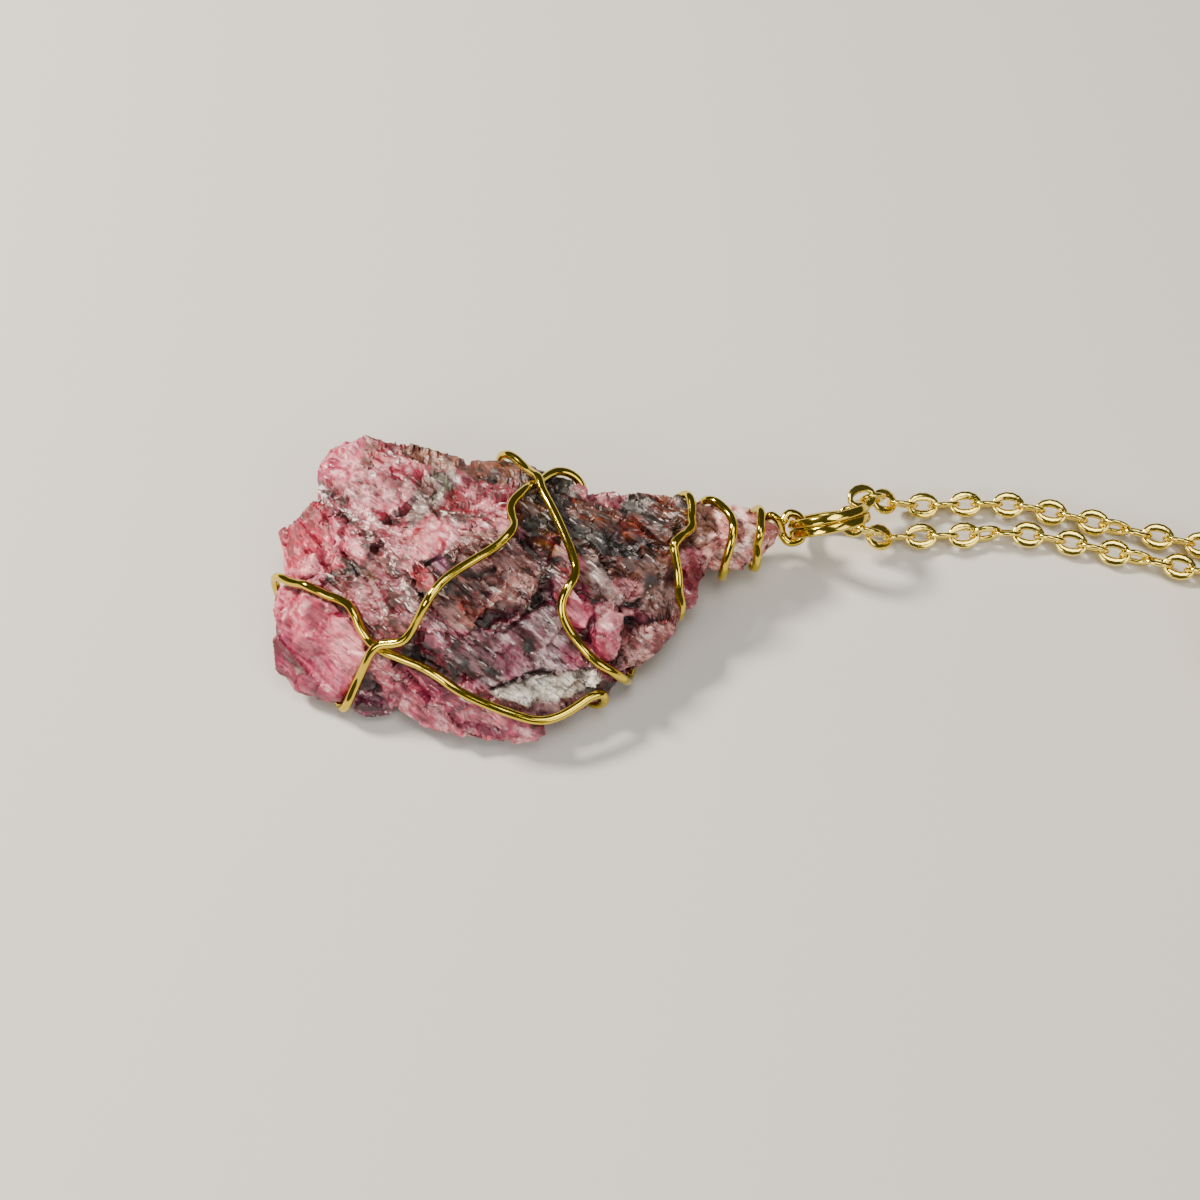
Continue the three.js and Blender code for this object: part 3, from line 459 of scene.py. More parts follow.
    "glassy": [[(-19, 2.5), (-16.8, 3.6), (-15.5, 3), (-12.5, 1.7), (-10.6, 0.8), (-9.6, -1.6), (-9.8, -3.8),
                (-11.2, -6), (-12, -8), (-19, -8)],
               [(7.6, 4.4), (9, 3), (10.7, 1.3), (11.8, 2.1), (13.8, 1.2), (13, -1.8), (12.2, -3), (11, -3.2),
                (9.9, -0.9), (8.4, -0.5)],
               [(-18, 8.4), (-15.2, 9.4), (-14.2, 11), (-13.2, 11), (-12.6, 8), (-13.5, 4.6), (-18, 3.6)],
               [(-6, 5), (-4.6, 5.7), (-3.4, 4.8), (-3, 3.2), (-4, 2.3), (-5.2, 3.6)],
               [(-6.2, 8.6), (-4.8, 9.2), (-1.4, 8.4), (-4, 6.2)]],
    "swells": [([(5, 12.9), (7.2, 12.9), (8.3, 12.6)], 1.1, 0.85), ([(-17, 2.9), (-17.4, 1.6)], 1.0, 0.8),
               ([(-15.2, -5), (-13, -5.6), (-11.6, -6)], 1.0, 0.9), ([(2, 14.6), (3.5, 13.9)], 0.9, 0.4),
               ([(11.8, -4.6), (10.8, -5.6)], 1.0, 0.6), ([(3.5, -9.4), (6.3, -9.2)], 1.0, 0.6),
               ([(-13.3, 12.8), (-11.9, 15.5), (-9.5, 16.4)], 1.0, 0.4)],
    "green": [(-3.6, 13.6), (-2.3, 12.5), (-4.0, 11.0)],
    "red": [(-4.2, 12.2, 0.6), (-3.6, 10.1, 0.7), (-2.0, 11.0, 0.8), (-8.7, 15.4, 1.0), (-5.3, 7.8, 0.5),
            (-0.6, 10.4, 0.7)],
}


def picturePlane(points):  # where each point is seen on a plane facing the camera, mm
    away = points - np.array(stonePaint["eye"])
    depth = -away @ np.array(stonePaint["back"])
    return (stonePaint["eye"][0] + stonePaint["plane"] * away[:, 0] / depth,
            stonePaint["middle"] + stonePaint["plane"] * (away @ np.array(stonePaint["up"])) / depth)


def lineGap(u, w, line):  # distance from a line of points on the picture plane
    gap = np.full(len(u), np.inf)
    for (au, aw), (bu, bw) in zip(line[:-1], line[1:]):
        du, dw = bu - au, bw - aw
        t = np.clip(((u - au) * du + (w - aw) * dw) / (du * du + dw * dw), 0, 1)
        gap = np.minimum(gap, np.hypot(u - au - t * du, w - aw - t * dw))
    return gap


def insideDepth(u, w, outline):  # distance to an outline, positive inside it
    inside = np.zeros(len(u), bool)
    for (au, aw), (bu, bw) in zip(outline, outline[1:] + outline[:1]):
        crosses = (aw > w) != (bw > w)
        inside ^= crosses & (u < au + (w - aw) * (bu - au) / (bw - aw if bw != aw else 1e-9))
    gap = lineGap(u, w, outline + outline[:1])
    return np.where(inside, gap, -gap)


def threeTones(value, tones):  # dark at -0.55, middle at 0, light at 0.55
    low, middle, high = (np.array(linearColor(t)[:3]) for t in tones)
    t = np.clip(value / 0.55, -1.15, 1.15)[:, None]
    return middle + np.where(t > 0, t * (high - middle), -t * (low - middle))


# noise drawn out along one direction in the picture plane
def streakNoise(points, turn, length, width, seed):
    angle = math.radians(turn)
    way = np.array([math.cos(angle), 0, 0]) + math.sin(angle) * np.array(stonePaint["up"])
    drawn = points / width + (points @ way)[:, None] * way * (1 / length - 1 / width)
    return layeredNoise(drawn, 1.0, seed, 3)


# body noise comes first, then regions, lines and specks, with painted shade in the cracks and painted glints;
# gives colour, gloss, whiteness, lift, fibre and glassiness
def paintStone(points, normals, facetShade):
    spec = stonePaint
    u, w = picturePlane(points)
    seen = ramp(normals @ np.array(spec["back"]), *spec["seen"])
    u = u + spec["wander"] * layeredNoise(points, spec["wanderSize"], 61, 3)
    w = w + spec["wander"] * layeredNoise(points, spec["wanderSize"], 71, 3)
    cloud = layeredNoise(points, spec["cloudSize"], 5, 4)
    fine = layeredNoise(points, spec["fineSize"], 9, 3)
    glassy = np.zeros(len(points))
    for outline in spec["glassy"]:
        glassy = np.maximum(glassy, seen * ramp(insideDepth(u, w, outline), -0.1, 0.5))
    tone = (0.4 * cloud + 0.35 * fine) * (1 - 0.55 * glassy) + 0.75 * facetShade
    grain = unit(np.array(stoneSpec["grain"]))
    drawn = points - spec["fibreDraw"] * (points @ grain)[:, None] * grain
    fibre = layeredNoise(drawn, spec["fibreSize"], 31, 3)
    color = threeTones(tone + 0.2 * fibre, spec["body"])
    brown = spec["brownShare"] * ramp(layeredNoise(points, spec["brownSize"], 83, 3), 0.1, 0.5)[:, None]
    color = color * (1 - brown) + brown * threeTones(tone, spec["brownBody"])
    white = 0.4 * ramp(fibre, 0.45, 0.85)
    dark = 0.4 * ramp(-fibre, 0.55, 0.95)
    lift = np.zeros(len(points))
    for number, (outline, tones, whiteShare, darkShare, turn, rise) in enumerate(spec["regions"]):
        mask = seen * ramp(insideDepth(u, w, outline), -spec["edge"], spec["edge"])
        touched = np.flatnonzero(mask > 0.002)
        m = mask[touched]
        streak = streakNoise(points[touched], turn, *spec["streaks"], 101 + 3 * number)
        other = streakNoise(points[touched], turn + 8, *spec["darkStreaks"], 301 + 3 * number)
        color[touched] += (threeTones(tone[touched] + 0.3 * streak, tones) - color[touched]) * m[:, None]
        white[touched] += (whiteShare * ramp(streak, 0.35, 0.85) - white[touched]) * m
        dark[touched] += (darkShare * ramp(other, 0.2, 0.75) - dark[touched]) * m
        lift[touched] += (rise - lift[touched]) * m
    for line, width in spec["whiteLines"]:
        band = seen * np.exp(-(lineGap(u, w, line) / width) ** 2)
        white += band * ramp(fibre + 0.4 * fine, -0.35, 0.45) * 0.55
    # painted shade in the cracks; the same mask also sinks the skin there
    shadedCrack = np.zeros(len(points))
    for line, width in spec["shadedCracks"]:
        shadedCrack = np.maximum(shadedCrack, seen * np.exp(-(lineGap(u, w, line) / width) ** 2))
    for su, sw in spec["specks"]:
        dark += seen * 1.3 * np.exp(-((u - su) ** 2 + (w - sw) ** 2) / 0.5) * ramp(fine, -0.1, 0.3)
    # painted glints: white specks that stand in for sparkle off tiny facets; the same spots are made glossier
    paintedGlint = ramp(smoothNoise(points, spec["paintedGlintSize"], 91) + 0.35 * fibre, 0.72, 1.0)

    def over(base, tint, amount):  # a tint laid over a colour
        return base + (np.array(linearColor(tint)[:3]) - base) * np.clip(amount, 0, 1)[:, None]

    color = over(color, spec["greenTint"], 0.85 * seen * np.exp(-(lineGap(u, w, spec["green"]) / 0.35) ** 2))
    for su, sw, size in spec["red"]:
        spot = np.exp(-((u - su) ** 2 + (w - sw) ** 2) / size ** 2)
        color = over(color, spec["redTint"], 0.5 * seen * spot)
    color = over(color, spec["darkTint"], dark)
    color = np.maximum(color - spec["veil"], 0.3 * color)  # what the sheen adds is taken off
    # white streaks, then painted glints where the stone is not glassy
    color = over(color, spec["whiteTint"], np.clip(white, 0, 1) * 0.16 + 0.3 * paintedGlint * (1 - glassy))
    # painted shade laid into the cracks
    color = over(color, spec["crackShadeTint"], 0.9 * shadedCrack)
    gloss = np.clip(0.4 + 0.6 * facetShade + 0.3 * paintedGlint - 0.3 * dark, 0, 0.7) + 0.3 * glassy
    lift += 0.07 * np.clip(white, 0, 1) - 0.14 * np.clip(dark, 0, 1) - 0.9 * shadedCrack
    return color, gloss, np.clip(white, 0, 1) - 0.3 * glassy, lift, fibre * (1 - 0.85 * glassy), glassy


# distance from each point to the middle of the wire, taken in shares to spare memory
def wireClearance(points):
    wire = wirePath[::2]
    clear = np.full(len(points), np.inf)
    for part in np.array_split(np.arange(len(wire)), 24):
        clear = np.minimum(clear, np.linalg.norm(points[:, None, :] - wire[None, part], axis=2).min(1))
    return clear


# how far the skin moves: facets, steps along the cleavage, grit and painted lifts,
# then rims and the wire's bed
def skinDepth(points, facing, large, small, lift, fibre, glassy):
    spec = stoneSpec
    wander = spec["wander"] * layeredNoise(points, spec["wanderSize"], 51, 3)
    level = (points @ unit(np.array(spec["cleavage"])) + wander) / spec["terrace"]
    broken = spec["smallDepth"] * small + spec["terraceDepth"] * (level - np.floor(level) - 0.5)
    broken += spec["gritDepth"] * layeredNoise(points, spec["gritSize"], 41, 3)
    depth = (spec["largeDepth"] - spec["glassyLarge"] * glassy) * large
    depth += (1 - spec["glassySmooth"] * glassy) * broken
    depth += spec["fibreDepth"] * fibre + lift - spec["sink"] + spec["glassyRise"] * glassy
    room = spec["pressTop"] - spec["pressFrom"]
    pressed = spec["pressTop"] - room * np.exp(-(depth - spec["pressFrom"]) / room)
    depth = np.where(depth > spec["pressFrom"], pressed, depth)  # high places are pressed flatter
    depth = np.maximum(depth, spec["deepest"])
    u, w = picturePlane(points)
    rim = ramp(facing @ np.array(stonePaint["back"]), *spec["rim"])
    for line, width, rise in stonePaint["swells"]:  # rims that stand further out, up to the wire
        depth += rim * rise * np.exp(-(lineGap(u, w, line) / width) ** 2)
    clear = wireClearance(points)  # under the wire the skin stays close to it, and never in it
    depth = np.maximum(depth, -spec["wireBed"] - spec["wireSlope"] * np.maximum(clear - spec["wireReach"], 0))
    depth = np.minimum(depth, np.maximum(clear - wireSpec["radius"] - spec["wireGap"], spec["wireDeepest"]))
    return depth * ramp(points[:, 2], *spec["foot"])


def addAttribute(piece, name, kind, key, values):  # one value or colour for every point of a piece
    layer = piece.data.attributes.new(name, kind, "POINT")
    layer.data.foreach_set(key, np.asarray(values, np.float32).ravel())


def buildStone():  # the skin's grid, moved along its normals, with a tip point closing each end
    grid = stoneSkin()
    points = grid.reshape(-1, 3)
    facing = gridNormals(grid).reshape(-1, 3)
    grain = unit(np.array(stoneSpec["grain"]))
    drawn = points - stoneSpec["grainDraw"] * (points @ grain)[:, None] * grain
    large, largeShade = brokenFacets(drawn, stoneSpec["largeFacet"], 3)
    small, smallShade = brokenFacets(drawn, stoneSpec["smallFacet"], 17)
    color, gloss, white, lift, fibre, glassy = paintStone(points, facing, largeShade + smallShade - 1)
    depth = skinDepth(points, facing, large, small, lift, fibre, glassy)
    moved = points + facing * depth[:, None]
    moved[:, 2] = np.maximum(moved[:, 2], 0)
    rows, columns = grid.shape[:2]
    total, base = rows * columns, (rows - 1) * columns
    ends = np.arange(columns)
    nextEnds = (ends + 1) % columns
    caps = np.vstack([np.stack([nextEnds, ends, 0 * ends + total], 1),
                      np.stack([base + ends, base + nextEnds, 0 * ends + total + 1], 1)])
    tips = np.vstack([moved[:columns].mean(0), moved[base:].mean(0)])
    faces = gridFaces(rows, columns).tolist() + caps.tolist()
    piece = makeMesh("stone_skin", np.vstack([moved, tips]) * mm, faces)
    tint = np.ones((total + 2, 4))
    tint[:, :3] = np.vstack([color, color[0], color[-1]])
    addAttribute(piece, "tint", "FLOAT_COLOR", "color", tint)
    addAttribute(piece, "gloss", "FLOAT", "value", np.concatenate([gloss, [gloss[0], gloss[-1]]]))
    addAttribute(piece, "streak", "FLOAT", "value", np.concatenate([white, [0, 0]]))
    piece.data.set_sharp_from_angle(angle=math.radians(stoneSpec["sharpEdge"]))
    return piece


stonePiece = buildStone()
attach(stonePiece, "root")
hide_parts("stone")
print("stone faces", len(stonePiece.data.polygons))


# counts are per mm: grit 0.36 mm, grains 1 mm, slim grains 0.38 by 2.5 mm, fibres 0.33 by 2.2 mm,
# needles 0.16 by 1 mm, as coarse as they look in the picture
rhodoniteSpec = {
    "grainTurn": (0.0, 12.0, -36.6), "stretch": 6.5, "gritPerMm": 2.8, "fibresPerMm": 3.0, "grainsPerMm": 1.0,
    "slimPerMm": 2.6, "needlesPerMm": 6.2, "tilt": (0.5, 0.2), "tone": (0.12, 1.2), "grainTone": 0.42,
    "saturation": 1.16, "whiteFrom": (1.24, 1.3), "whiteFibre": 0.5, "whiteStreak": 0.9,
    # white of the needles, which are partly white fibres and partly painted glints
    "needleGlintTint": "f4ecea",
    # gaps: painted shade between the needles
    "gapFrom": (0.08, 0.2), "gapStreak": -0.28, "gapShadeTone": 0.36, "rough": (0.6, 0.22), "ior": 1.73,
    "fibreBump": (0.5, 0.00016), "gritBump": (0.4, 0.00012),
    "glow": 0.06, "glowRadius": (1.0, 0.45, 0.5), "glowReach": 0.0004,
}


# rhodonite, a broken manganese silicate: painted tints in small split grains, each tilted and toned by
# itself, white needles along the grain (partly white fibres, partly painted glints), painted shade in the
# gaps between them and a half glassy shine
def rhodoniteMaterial():
    spec = rhodoniteSpec
    material, tree, shader = newMaterial("rhodonite")
    where = addNode(tree, "TexCoord").outputs["Object"]
    turned = addNode(tree, "Mapping", vector_type="TEXTURE", Vector=where,
                     Rotation=[math.radians(a) for a in spec["grainTurn"]],
                     Scale=(spec["stretch"], 1.0, 1.0)).outputs["Vector"]
    grit = addNode(tree, "TexNoise", Vector=where, Scale=spec["gritPerMm"] / mm,
                   Detail=5.0, Roughness=0.7).outputs["Fac"]
    fibre = addNode(tree, "TexNoise", Vector=turned, Scale=spec["fibresPerMm"] / mm,
                    Detail=6.0, Roughness=0.7).outputs["Fac"]
    tint = addNode(tree, "Attribute", attribute_name="tint").outputs["Color"]
    gloss = addNode(tree, "Attribute", attribute_name="gloss").outputs["Fac"]
    streak = addNode(tree, "Attribute", attribute_name="streak").outputs["Fac"]
    coarse = addNode(tree, "TexVoronoi", Vector=where, Scale=spec["grainsPerMm"] / mm).outputs["Color"]
    slim = addNode(tree, "TexVoronoi", Vector=turned, Scale=spec["slimPerMm"] / mm).outputs["Color"]
    # the shading of every grain leans its own way
    grains = addNode(tree, "VectorMath", operation="ADD", i0=coarse, i1=slim).outputs[0]
    centred = addNode(tree, "VectorMath", operation="SUBTRACT", i0=grains, i1=(1.0, 1.0, 1.0)).outputs[0]
    amount = addNode(tree, "MapRange", Value=gloss, From_Min=0.6, From_Max=1.0,
                     To_Min=spec["tilt"][0], To_Max=spec["tilt"][1]).outputs["Result"]
    tilt = addNode(tree, "VectorMath", operation="SCALE", i0=centred, Scale=amount).outputs[0]
    facing = addNode(tree, "NewGeometry").outputs["Normal"]
    leaning = addNode(tree, "VectorMath", operation="ADD", i0=facing, i1=tilt).outputs[0]
    normal = addNode(tree, "VectorMath", operation="NORMALIZE", i0=leaning).outputs[0]
    # and every grain has its own tone
    shade = addNode(tree, "SeparateXYZ", Vector=grains).outputs["X"]
    both = addNode(tree, "Math", operation="MULTIPLY", i0=grit, i1=fibre).outputs[0]
    strength = addNode(tree, "MapRange", Value=both, From_Min=0.12, From_Max=0.42,
                       To_Min=spec["tone"][0], To_Max=spec["tone"][1]).outputs["Result"]
    strength = addNode(tree, "Math", operation="MULTIPLY_ADD", i0=shade, i1=spec["grainTone"],
                       i2=strength).outputs[0]
    color = addNode(tree, "HueSaturation", Color=tint, Value=strength,
                    Saturation=spec["saturation"]).outputs["Color"]
    # needles along the grain: some white, partly white fibres and partly painted glints, some darkened as
    # painted shade in the gaps between them; more of both where white streaks are painted
    needles = addNode(tree, "TexVoronoi", Vector=turned, Scale=spec["needlesPerMm"] / mm).outputs["Color"]
    pick = addNode(tree, "SeparateXYZ", Vector=needles)
    lines = addNode(tree, "Math", operation="MULTIPLY_ADD", i0=fibre, i1=spec["whiteFibre"],
                    i2=pick.outputs["X"]).outputs[0]
    lines = addNode(tree, "Math", operation="MULTIPLY_ADD", i0=streak, i1=spec["whiteStreak"],
                    i2=lines).outputs[0]
    share = addNode(tree, "MapRange", Value=lines, From_Min=spec["whiteFrom"][0],
                    From_Max=spec["whiteFrom"][1], To_Max=pick.outputs["Z"]).outputs["Result"]
    # painted shade in the gaps between the needles, more where white streaks are painted
    hollow = addNode(tree, "Math", operation="MULTIPLY_ADD", i0=streak, i1=spec["gapStreak"],
                     i2=pick.outputs["Y"]).outputs[0]
    gapShade = addNode(tree, "MapRange", Value=hollow, From_Min=spec["gapFrom"][0],
                   From_Max=spec["gapFrom"][1], To_Min=spec["gapShadeTone"]).outputs["Result"]
    color = addNode(tree, "HueSaturation", Color=color, Value=gapShade).outputs["Color"]
    # white needles laid on: white fibres and painted glints
    white = addNode(tree, "Mix", data_type="RGBA", i0=share, i7=linearColor(spec["needleGlintTint"]))
    tree.links.new(color, white.inputs[6])
    rough = addNode(tree, "MapRange", Value=gloss, To_Min=spec["rough"][0],
                    To_Max=spec["rough"][1]).outputs["Result"]
    bump1 = addNode(tree, "Bump", Strength=spec["fibreBump"][0], Distance=spec["fibreBump"][1],
                    Height=fibre, Normal=normal)
    bump2 = addNode(tree, "Bump", Strength=spec["gritBump"][0], Distance=spec["gritBump"][1],
                    Height=grit, Normal=bump1.outputs["Normal"])
    tree.links.new(white.outputs[2], shader.inputs["Base Color"])
    tree.links.new(rough, shader.inputs["Roughness"])
    tree.links.new(bump2.outputs["Normal"], shader.inputs["Normal"])
    shader.inputs["IOR"].default_value = spec["ior"]
    shader.inputs["Subsurface Weight"].default_value = spec["glow"]
    shader.inputs["Subsurface Radius"].default_value = spec["glowRadius"]
    shader.inputs["Subsurface Scale"].default_value = spec["glowReach"]
    return material


# handling marks are about 0.8 mm apart; bump is strength and depth in metres
goldSpec = {"marksPerMm": 1.3, "roughSpread": (0.75, 1.3), "bump": (0.12, 0.00004)}


def goldMaterial(name, tone, rough):  # polished gold-coloured brass: mirror streaks and faint handling marks
    material, tree, shader = newMaterial(name)
    where = addNode(tree, "TexCoord").outputs["Object"]
    marks = addNode(tree, "TexNoise", Vector=where, Scale=goldSpec["marksPerMm"] / mm,
                    Detail=4.0).outputs["Fac"]
    least, most = (rough * spread for spread in goldSpec["roughSpread"])
    shine = addNode(tree, "MapRange", Value=marks, From_Min=0.3, From_Max=0.7, To_Min=least, To_Max=most)
    bump = addNode(tree, "Bump", Strength=goldSpec["bump"][0], Distance=goldSpec["bump"][1], Height=marks)
    shader.inputs["Base Color"].default_value = linearColor(tone)
    shader.inputs["Metallic"].default_value = 1.0
    tree.links.new(shine.outputs["Result"], shader.inputs["Roughness"])
    tree.links.new(bump.outputs["Normal"], shader.inputs["Normal"])
    return material


stonePiece.data.materials.append(rhodoniteMaterial())
wireGold = goldMaterial("gold coloured wire", "d2b93f", 0.1)
ringGold = goldMaterial("gold plated ring", "dcc24c", 0.11)
chainGold = goldMaterial("gold plated chain", "f2da66", 0.13)

wireProfile = roundProfile(wireSpec["radius"] * mm, wireSpec["sides"])
wirePiece = barMesh("wire_round", wirePath * mm, wireProfile, (0, 0, 1))
wirePiece.data.materials.append(wireGold)
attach(wirePiece, "root")
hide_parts("wire_wrap")


def buildRing():  # a bar with rounded flat sides wound in a flat coil of nearly two turns
    turn = np.linspace(0, 1, ringSpec["steps"])
    angle = (turn * ringSpec["turns"] * 2 * np.pi + ringSpec["start"])[:, None]
    rise = ringSpec["pitch"] * ringSpec["turns"] * (turn[:, None] - 0.5)
    out = np.cos(angle) * ringSpec["long"] + np.sin(angle) * ringSpec["across"]
    path = ringSpec["centre"] + ringSpec["radius"] * out + rise * ringSpec["axis"]
    profile = flatProfile(ringSpec["high"] * mm, ringSpec["thick"] * mm, ringSpec["corner"] * mm)
    return barMesh("ring_round", path * mm, profile, ringSpec["axis"])


ringPiece = buildRing()
ringPiece.data.materials.append(ringGold)
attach(ringPiece, "root")
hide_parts("split_ring")
print("ring faces", len(ringPiece.data.polygons))


# chain: flat oval links, every other one turned a quarter, along two strands that are wound up out of view
chainSpec = {
    "pitch": 1.98, "longHalf": 1.29, "wideHalf": 0.83, "endBand": 0.26, "sideBand": 0.13, "thick": 0.42,
    "section": [(-1, -0.45), (-0.55, -1), (0.55, -1), (1, -0.45), (1, 0.45), (0.55, 1), (-0.55, 1),
                (-1, 0.45)],
    "linkSteps": 14, "reach": 0.6, "lean": -29.0, "twist": 90.0, "twistLength": 5.0,
    "turn": 1.6, "coil": np.array([82.0, -6.6]), "coilFoot": 1.2, "coilStep": 12.0, "lay": 2.3, "perSpan": 8,
    "upper": [(37.2, 11.9, 2.4), (40.7, 12.2, 1.3), (44.9, 12.4, 1.24), (49.0, 12.3, 1.24),
              (52.7, 11.5, 1.24), (56.7, 10.3, 1.24), (61.8, 8.9, 1.24), (65.7, 7.9, 1.24),
              (69.5, 7.2, 1.24), (73.6, 7.0, 1.24), (78.0, 7.0, 1.24)],
    "lower": [(36.8, 8.5, 1.5), (40.5, 8.8, 1.24), (44.4, 8.9, 1.24), (47.8, 9.2, 1.24),
              (50.2, 9.0, 1.24), (54.1, 8.1, 1.24), (58.0, 7.0, 1.24), (63.3, 5.6, 1.24),
              (65.3, 5.0, 1.24), (68.0, 4.7, 1.24), (70.7, 4.6, 1.24), (76.0, 4.6, 1.24)],
    "upperCoil": (13.6, 768.0), "lowerCoil": (11.2, 828.5), "upperFlat": (44.97, 12.5, 1.24),
    "lowerFlat": (40.5, 8.8, 1.24), "upperTwists": (14.64,), "lowerTwists": (6.54, 20.64),
}


# out of the ring, over the table, then round and up in a coil
def chainPath(strand, sign, coilRadius, coilDegrees):
    rim = ringSpec["centre"] + ringSpec["radius"] * ringSpec["long"]
    bend = [rim + chainSpec["turn"] * (sign * math.cos(a) * ringSpec["axis"] - math.sin(a) * ringSpec["long"])
            for a in np.radians([90, 45, 0])]
    wound = np.radians(np.linspace(0, coilDegrees, round(coilDegrees / chainSpec["coilStep"]) + 1))
    coil = np.stack([chainSpec["coil"][0] + coilRadius * np.sin(wound),
                     chainSpec["coil"][1] + coilRadius * np.cos(wound),
                     chainSpec["coilFoot"] + chainSpec["lay"] * wound / (2 * np.pi)], 1)
    return smoothPath(np.vstack([bend, strand, coil]), chainSpec["perSpan"])


# one oval link repeated along the path, a flat one at the given point, every other one turned a quarter;
# each twist turns what follows by a quarter more
def buildChain(name, path, flatAt, twists):
    spec = chainSpec
    run = np.concatenate([[0], np.cumsum(np.linalg.norm(np.diff(path, axis=0), axis=1))])
    anchor = run[np.linalg.norm(path - np.array(flatAt), axis=1).argmin()]
    first = anchor % (2 * spec["pitch"])
    count = int((run[-1] - first) / spec["pitch"]) + 1
    places = first + np.arange(count) * spec["pitch"]
    middle = alongPath(path, places)
    tangent = unit(alongPath(path, places + spec["reach"]) - alongPath(path, places - spec["reach"]))
    side = unit(np.cross(tangent, [0, 0, 1.0]))
    up = np.cross(side, tangent)
    half = spec["twistLength"] / 2
    twist = sum(ramp(places - anchor, at - half, at + half) for at in twists) * spec["twist"]
    lean = np.radians(spec["lean"] + 90.0 * (np.arange(count) % 2) + twist)[:, None]
    flat = side * np.cos(lean) + up * np.sin(lean)
    facing = np.cross(tangent, flat)
    steps, section = spec["linkSteps"], np.array(spec["section"])
    phi = np.arange(steps) / steps * 2 * np.pi
    band = (spec["endBand"] + spec["sideBand"] * np.sin(phi) ** 2)[:, None] * section[None, :, 0]
    out = unit(np.stack([np.cos(phi) / spec["longHalf"], np.sin(phi) / spec["wideHalf"]], 1))
    alongLink = (spec["longHalf"] * np.cos(phi)[:, None] + out[:, :1] * band).ravel()
    acrossLink = (spec["wideHalf"] * np.sin(phi)[:, None] + out[:, 1:] * band).ravel()
    throughLink = (np.ones((steps, 1)) * section[None, :, 1] * spec["thick"] / 2).ravel()
    points = (middle[:, None] + alongLink[None, :, None] * tangent[:, None]
              + acrossLink[None, :, None] * flat[:, None] + throughLink[None, :, None] * facing[:, None])
    faces = gridFaces(steps, len(section), True)
    faces = (faces[None] + (np.arange(count) * steps * len(section))[:, None, None]).reshape(-1, 4)
    return makeMesh(name, points.reshape(-1, 3) * mm, faces.tolist())


upperPath = chainPath(chainSpec["upper"], 1, *chainSpec["upperCoil"])
lowerPath = chainPath(chainSpec["lower"], -1, *chainSpec["lowerCoil"])
upperChain = buildChain("chain_upper", upperPath, chainSpec["upperFlat"], chainSpec["upperTwists"])
lowerChain = buildChain("chain_lower", lowerPath, chainSpec["lowerFlat"], chainSpec["lowerTwists"])
print("chain lengths mm", round(pathLength(upperPath), 1), round(pathLength(lowerPath), 1))
for piece in (upperChain, lowerChain):
    piece.data.materials.append(chainGold)
    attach(piece, "root")
    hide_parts("chain_run", "chain_coil")

# clasp: a hook that tapers from its body to its nose, a sprung lever across the gap, an eye for the last link
claspSpec = {
    "centre": np.array([92.35, -2.66, 8.3]), "wide": 1.75, "long": 3.65, "barSteps": 48, "barSides": 12,
    "hook": (28.0, 324.0), "hookSize": ((28, 80, 170, 260, 324), (0.55, 0.82, 0.8, 0.56, 0.36)),
    "lever": (-42.0, 40.0), "leverSize": ((-42, -10, 4, 40), (0.3, 0.36, 0.52, 0.42)), "bow": 0.16,
    "eye": (92.35, 2.19, 6.9), "eyeRadius": 0.95, "eyeWire": 0.3, "ring": (92.9, -12.5, 6.17),
    "ringRadius": 1.9, "ringWire": 0.42, "ringWay": (0.25, -0.95, -0.17), "ringSteps": 36,
}


# a bar on the clasp's oval between two angles, bowed outward and sized along its way
def claspBar(name, span, sizes, bow):
    angle = np.linspace(*span, claspSpec["barSteps"])
    a = np.radians(angle)
    out = 1 + bow * np.sin(np.linspace(0, np.pi, claspSpec["barSteps"])) ** 2
    oval = np.stack([out * claspSpec["wide"] * np.cos(a), claspSpec["long"] * np.sin(a), 0 * a], 1)
    profile = roundProfile(mm, claspSpec["barSides"])
    return barMesh(name, (claspSpec["centre"] + oval) * mm, profile, (0, 0, 1), np.interp(angle, *sizes))


# a circle in the plane of two directions, of round wire
def roundRing(name, centre, radius, wire, first, second):
    steps, sides = claspSpec["ringSteps"], claspSpec["barSides"]
    turn, around = (np.arange(n) / n * 2 * np.pi for n in (steps, sides))
    out = np.cos(turn)[:, None] * np.array(first) + np.sin(turn)[:, None] * np.array(second)
    through = np.cross(first, second)
    points = (np.array(centre) + out[:, None] * (radius + wire * np.cos(around))[None, :, None]
              - through * (wire * np.sin(around))[None, :, None])
    return makeMesh(name, points.reshape(-1, 3) * mm, gridFaces(steps, sides, True).tolist())


ringWay = unit(np.array(claspSpec["ringWay"]))  # from the last link down to the turn below
claspPieces = [
    claspBar("clasp_hook", claspSpec["hook"], claspSpec["hookSize"], 0.0),
    claspBar("clasp_lever", claspSpec["lever"], claspSpec["leverSize"], claspSpec["bow"]),
    roundRing("clasp_eye", claspSpec["eye"], claspSpec["eyeRadius"], claspSpec["eyeWire"], (0, 1, 0),
              (0, 0, 1)),
    roundRing("clasp_ring_round", claspSpec["ring"], claspSpec["ringRadius"], claspSpec["ringWire"], ringWay,
              unit(np.cross([0, 0, 1.0], ringWay))),
]
print("clasp pieces", len(claspPieces))
for piece in claspPieces:
    piece.data.materials.append(chainGold)
    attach(piece, "root")
    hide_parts("clasp_ring" if piece.name == "clasp_ring_round" else "clasp")


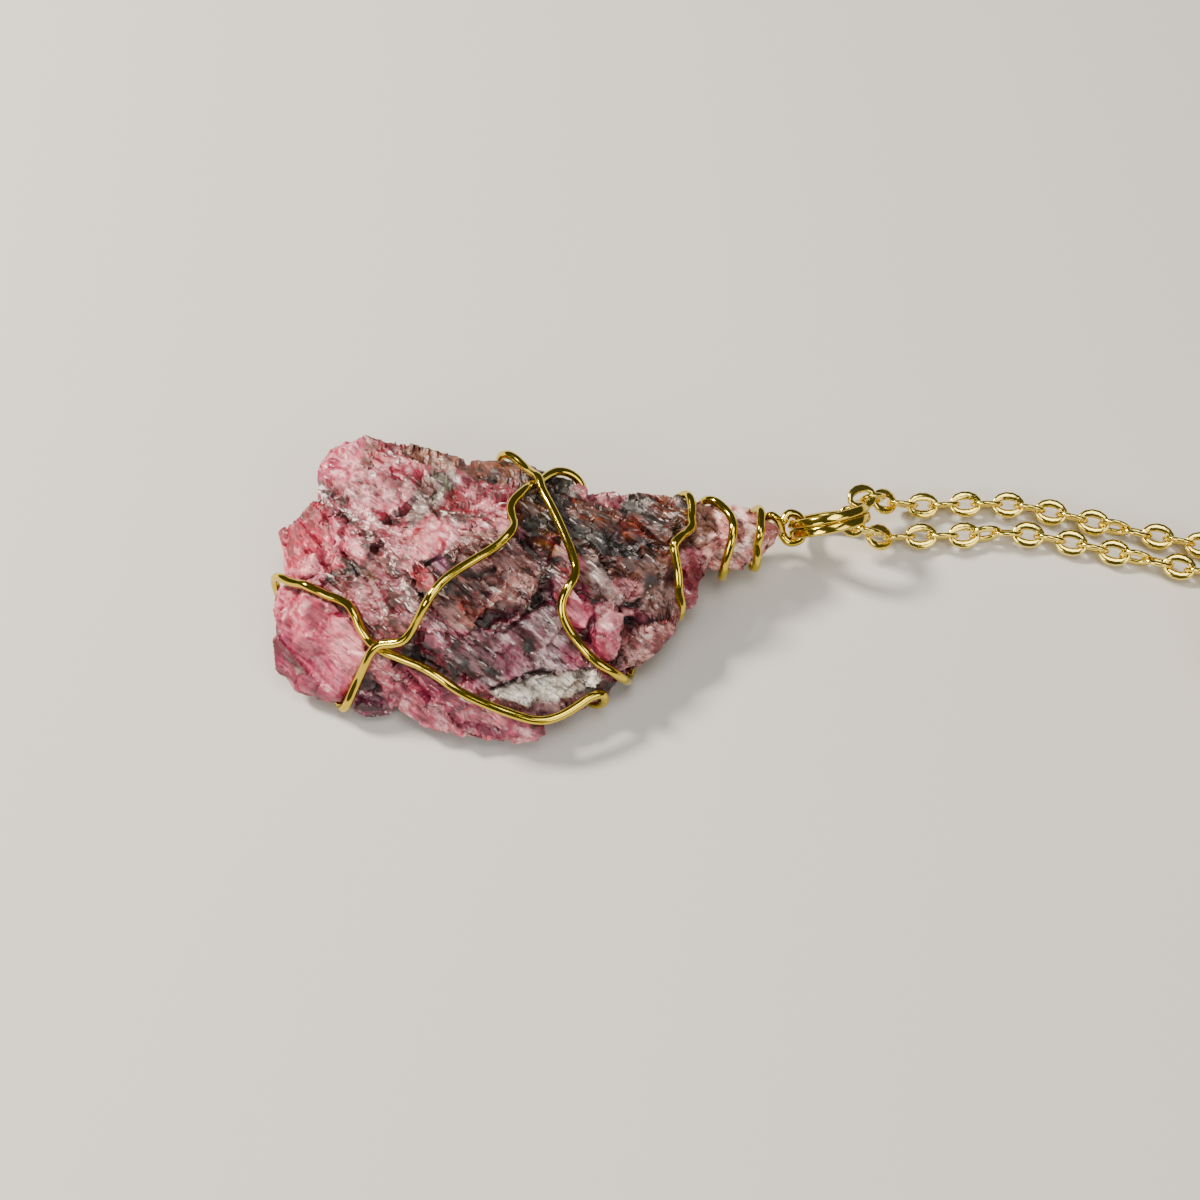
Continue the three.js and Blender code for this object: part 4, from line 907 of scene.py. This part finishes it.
# stage: pale plain floor, soft lights, camera at the picture's angle; lengths in metres
stageSpec = {
    "floorHalf": 3, "floorTone": "c9c7c3", "floorRough": 0.7, "skyTone": "dfe2e6", "skyStrength": 0.1,
    "aim": (0.0, 0.0, 0.005),
    "lights": [  # name, place, size, power, tone
        ("key", (-0.33, 0.18, 0.34), 0.09, 5.8, "fff2e0"),
        ("top", (0.07, -0.05, 0.56), 0.28, 1.5, "fffaf2"),
        ("fill", (0.30, -0.30, 0.30), 0.30, 1.0, "fff8f0"),
        ("front", (-0.25, -0.30, 0.25), 0.20, 1.1, "fff8f0"),
    ],
    "sensor": 36.0, "lens": 66.69, "near": 0.005, "camera": (0.0110, -0.1059, 0.1704), "cameraLean": 32.5,
}
half = stageSpec["floorHalf"]
floorMesh = bpy.data.meshes.new("floor")
floorMesh.from_pydata([(-half, -half, 0), (half, -half, 0), (half, half, 0), (-half, half, 0)], [],
                      [(0, 1, 2, 3)])
floor = bpy.data.objects.new("floor", floorMesh)
bpy.context.scene.collection.objects.link(floor)
floorMaterial, _, floorShader = newMaterial("pale floor")
floorShader.inputs["Base Color"].default_value = linearColor(stageSpec["floorTone"])
floorShader.inputs["Roughness"].default_value = stageSpec["floorRough"]
floorMesh.materials.append(floorMaterial)


def areaLight(name, place, size, power, tone):  # a square light turned towards the stone
    data = bpy.data.lights.new(name, "AREA")
    data.size = size
    data.energy = power
    data.color = linearColor(tone)[:3]
    lamp = bpy.data.objects.new(name, data)
    bpy.context.scene.collection.objects.link(lamp)
    lamp.location = place
    toward = np.array(place) - np.array(stageSpec["aim"])
    flat = math.hypot(toward[0], toward[1])
    lamp.rotation_euler = (math.atan2(flat, toward[2]), 0, math.atan2(toward[0], -toward[1]))


for light in stageSpec["lights"]:
    areaLight(*light)
world = bpy.data.worlds.new("studio")
world.use_nodes = True
sky = world.node_tree.nodes["Background"]
sky.inputs["Color"].default_value = linearColor(stageSpec["skyTone"])
sky.inputs["Strength"].default_value = stageSpec["skyStrength"]
bpy.context.scene.world = world

cameraData = bpy.data.cameras.new("camera")
cameraData.sensor_width = stageSpec["sensor"]
cameraData.lens = stageSpec["lens"]
cameraData.clip_start = stageSpec["near"]
camera = bpy.data.objects.new("camera", cameraData)
bpy.context.scene.collection.objects.link(camera)
camera.location = stageSpec["camera"]
camera.rotation_euler = (math.radians(stageSpec["cameraLean"]), 0, 0)
bpy.context.scene.camera = camera
print("lights", len(stageSpec["lights"]), "lens mm", cameraData.lens)
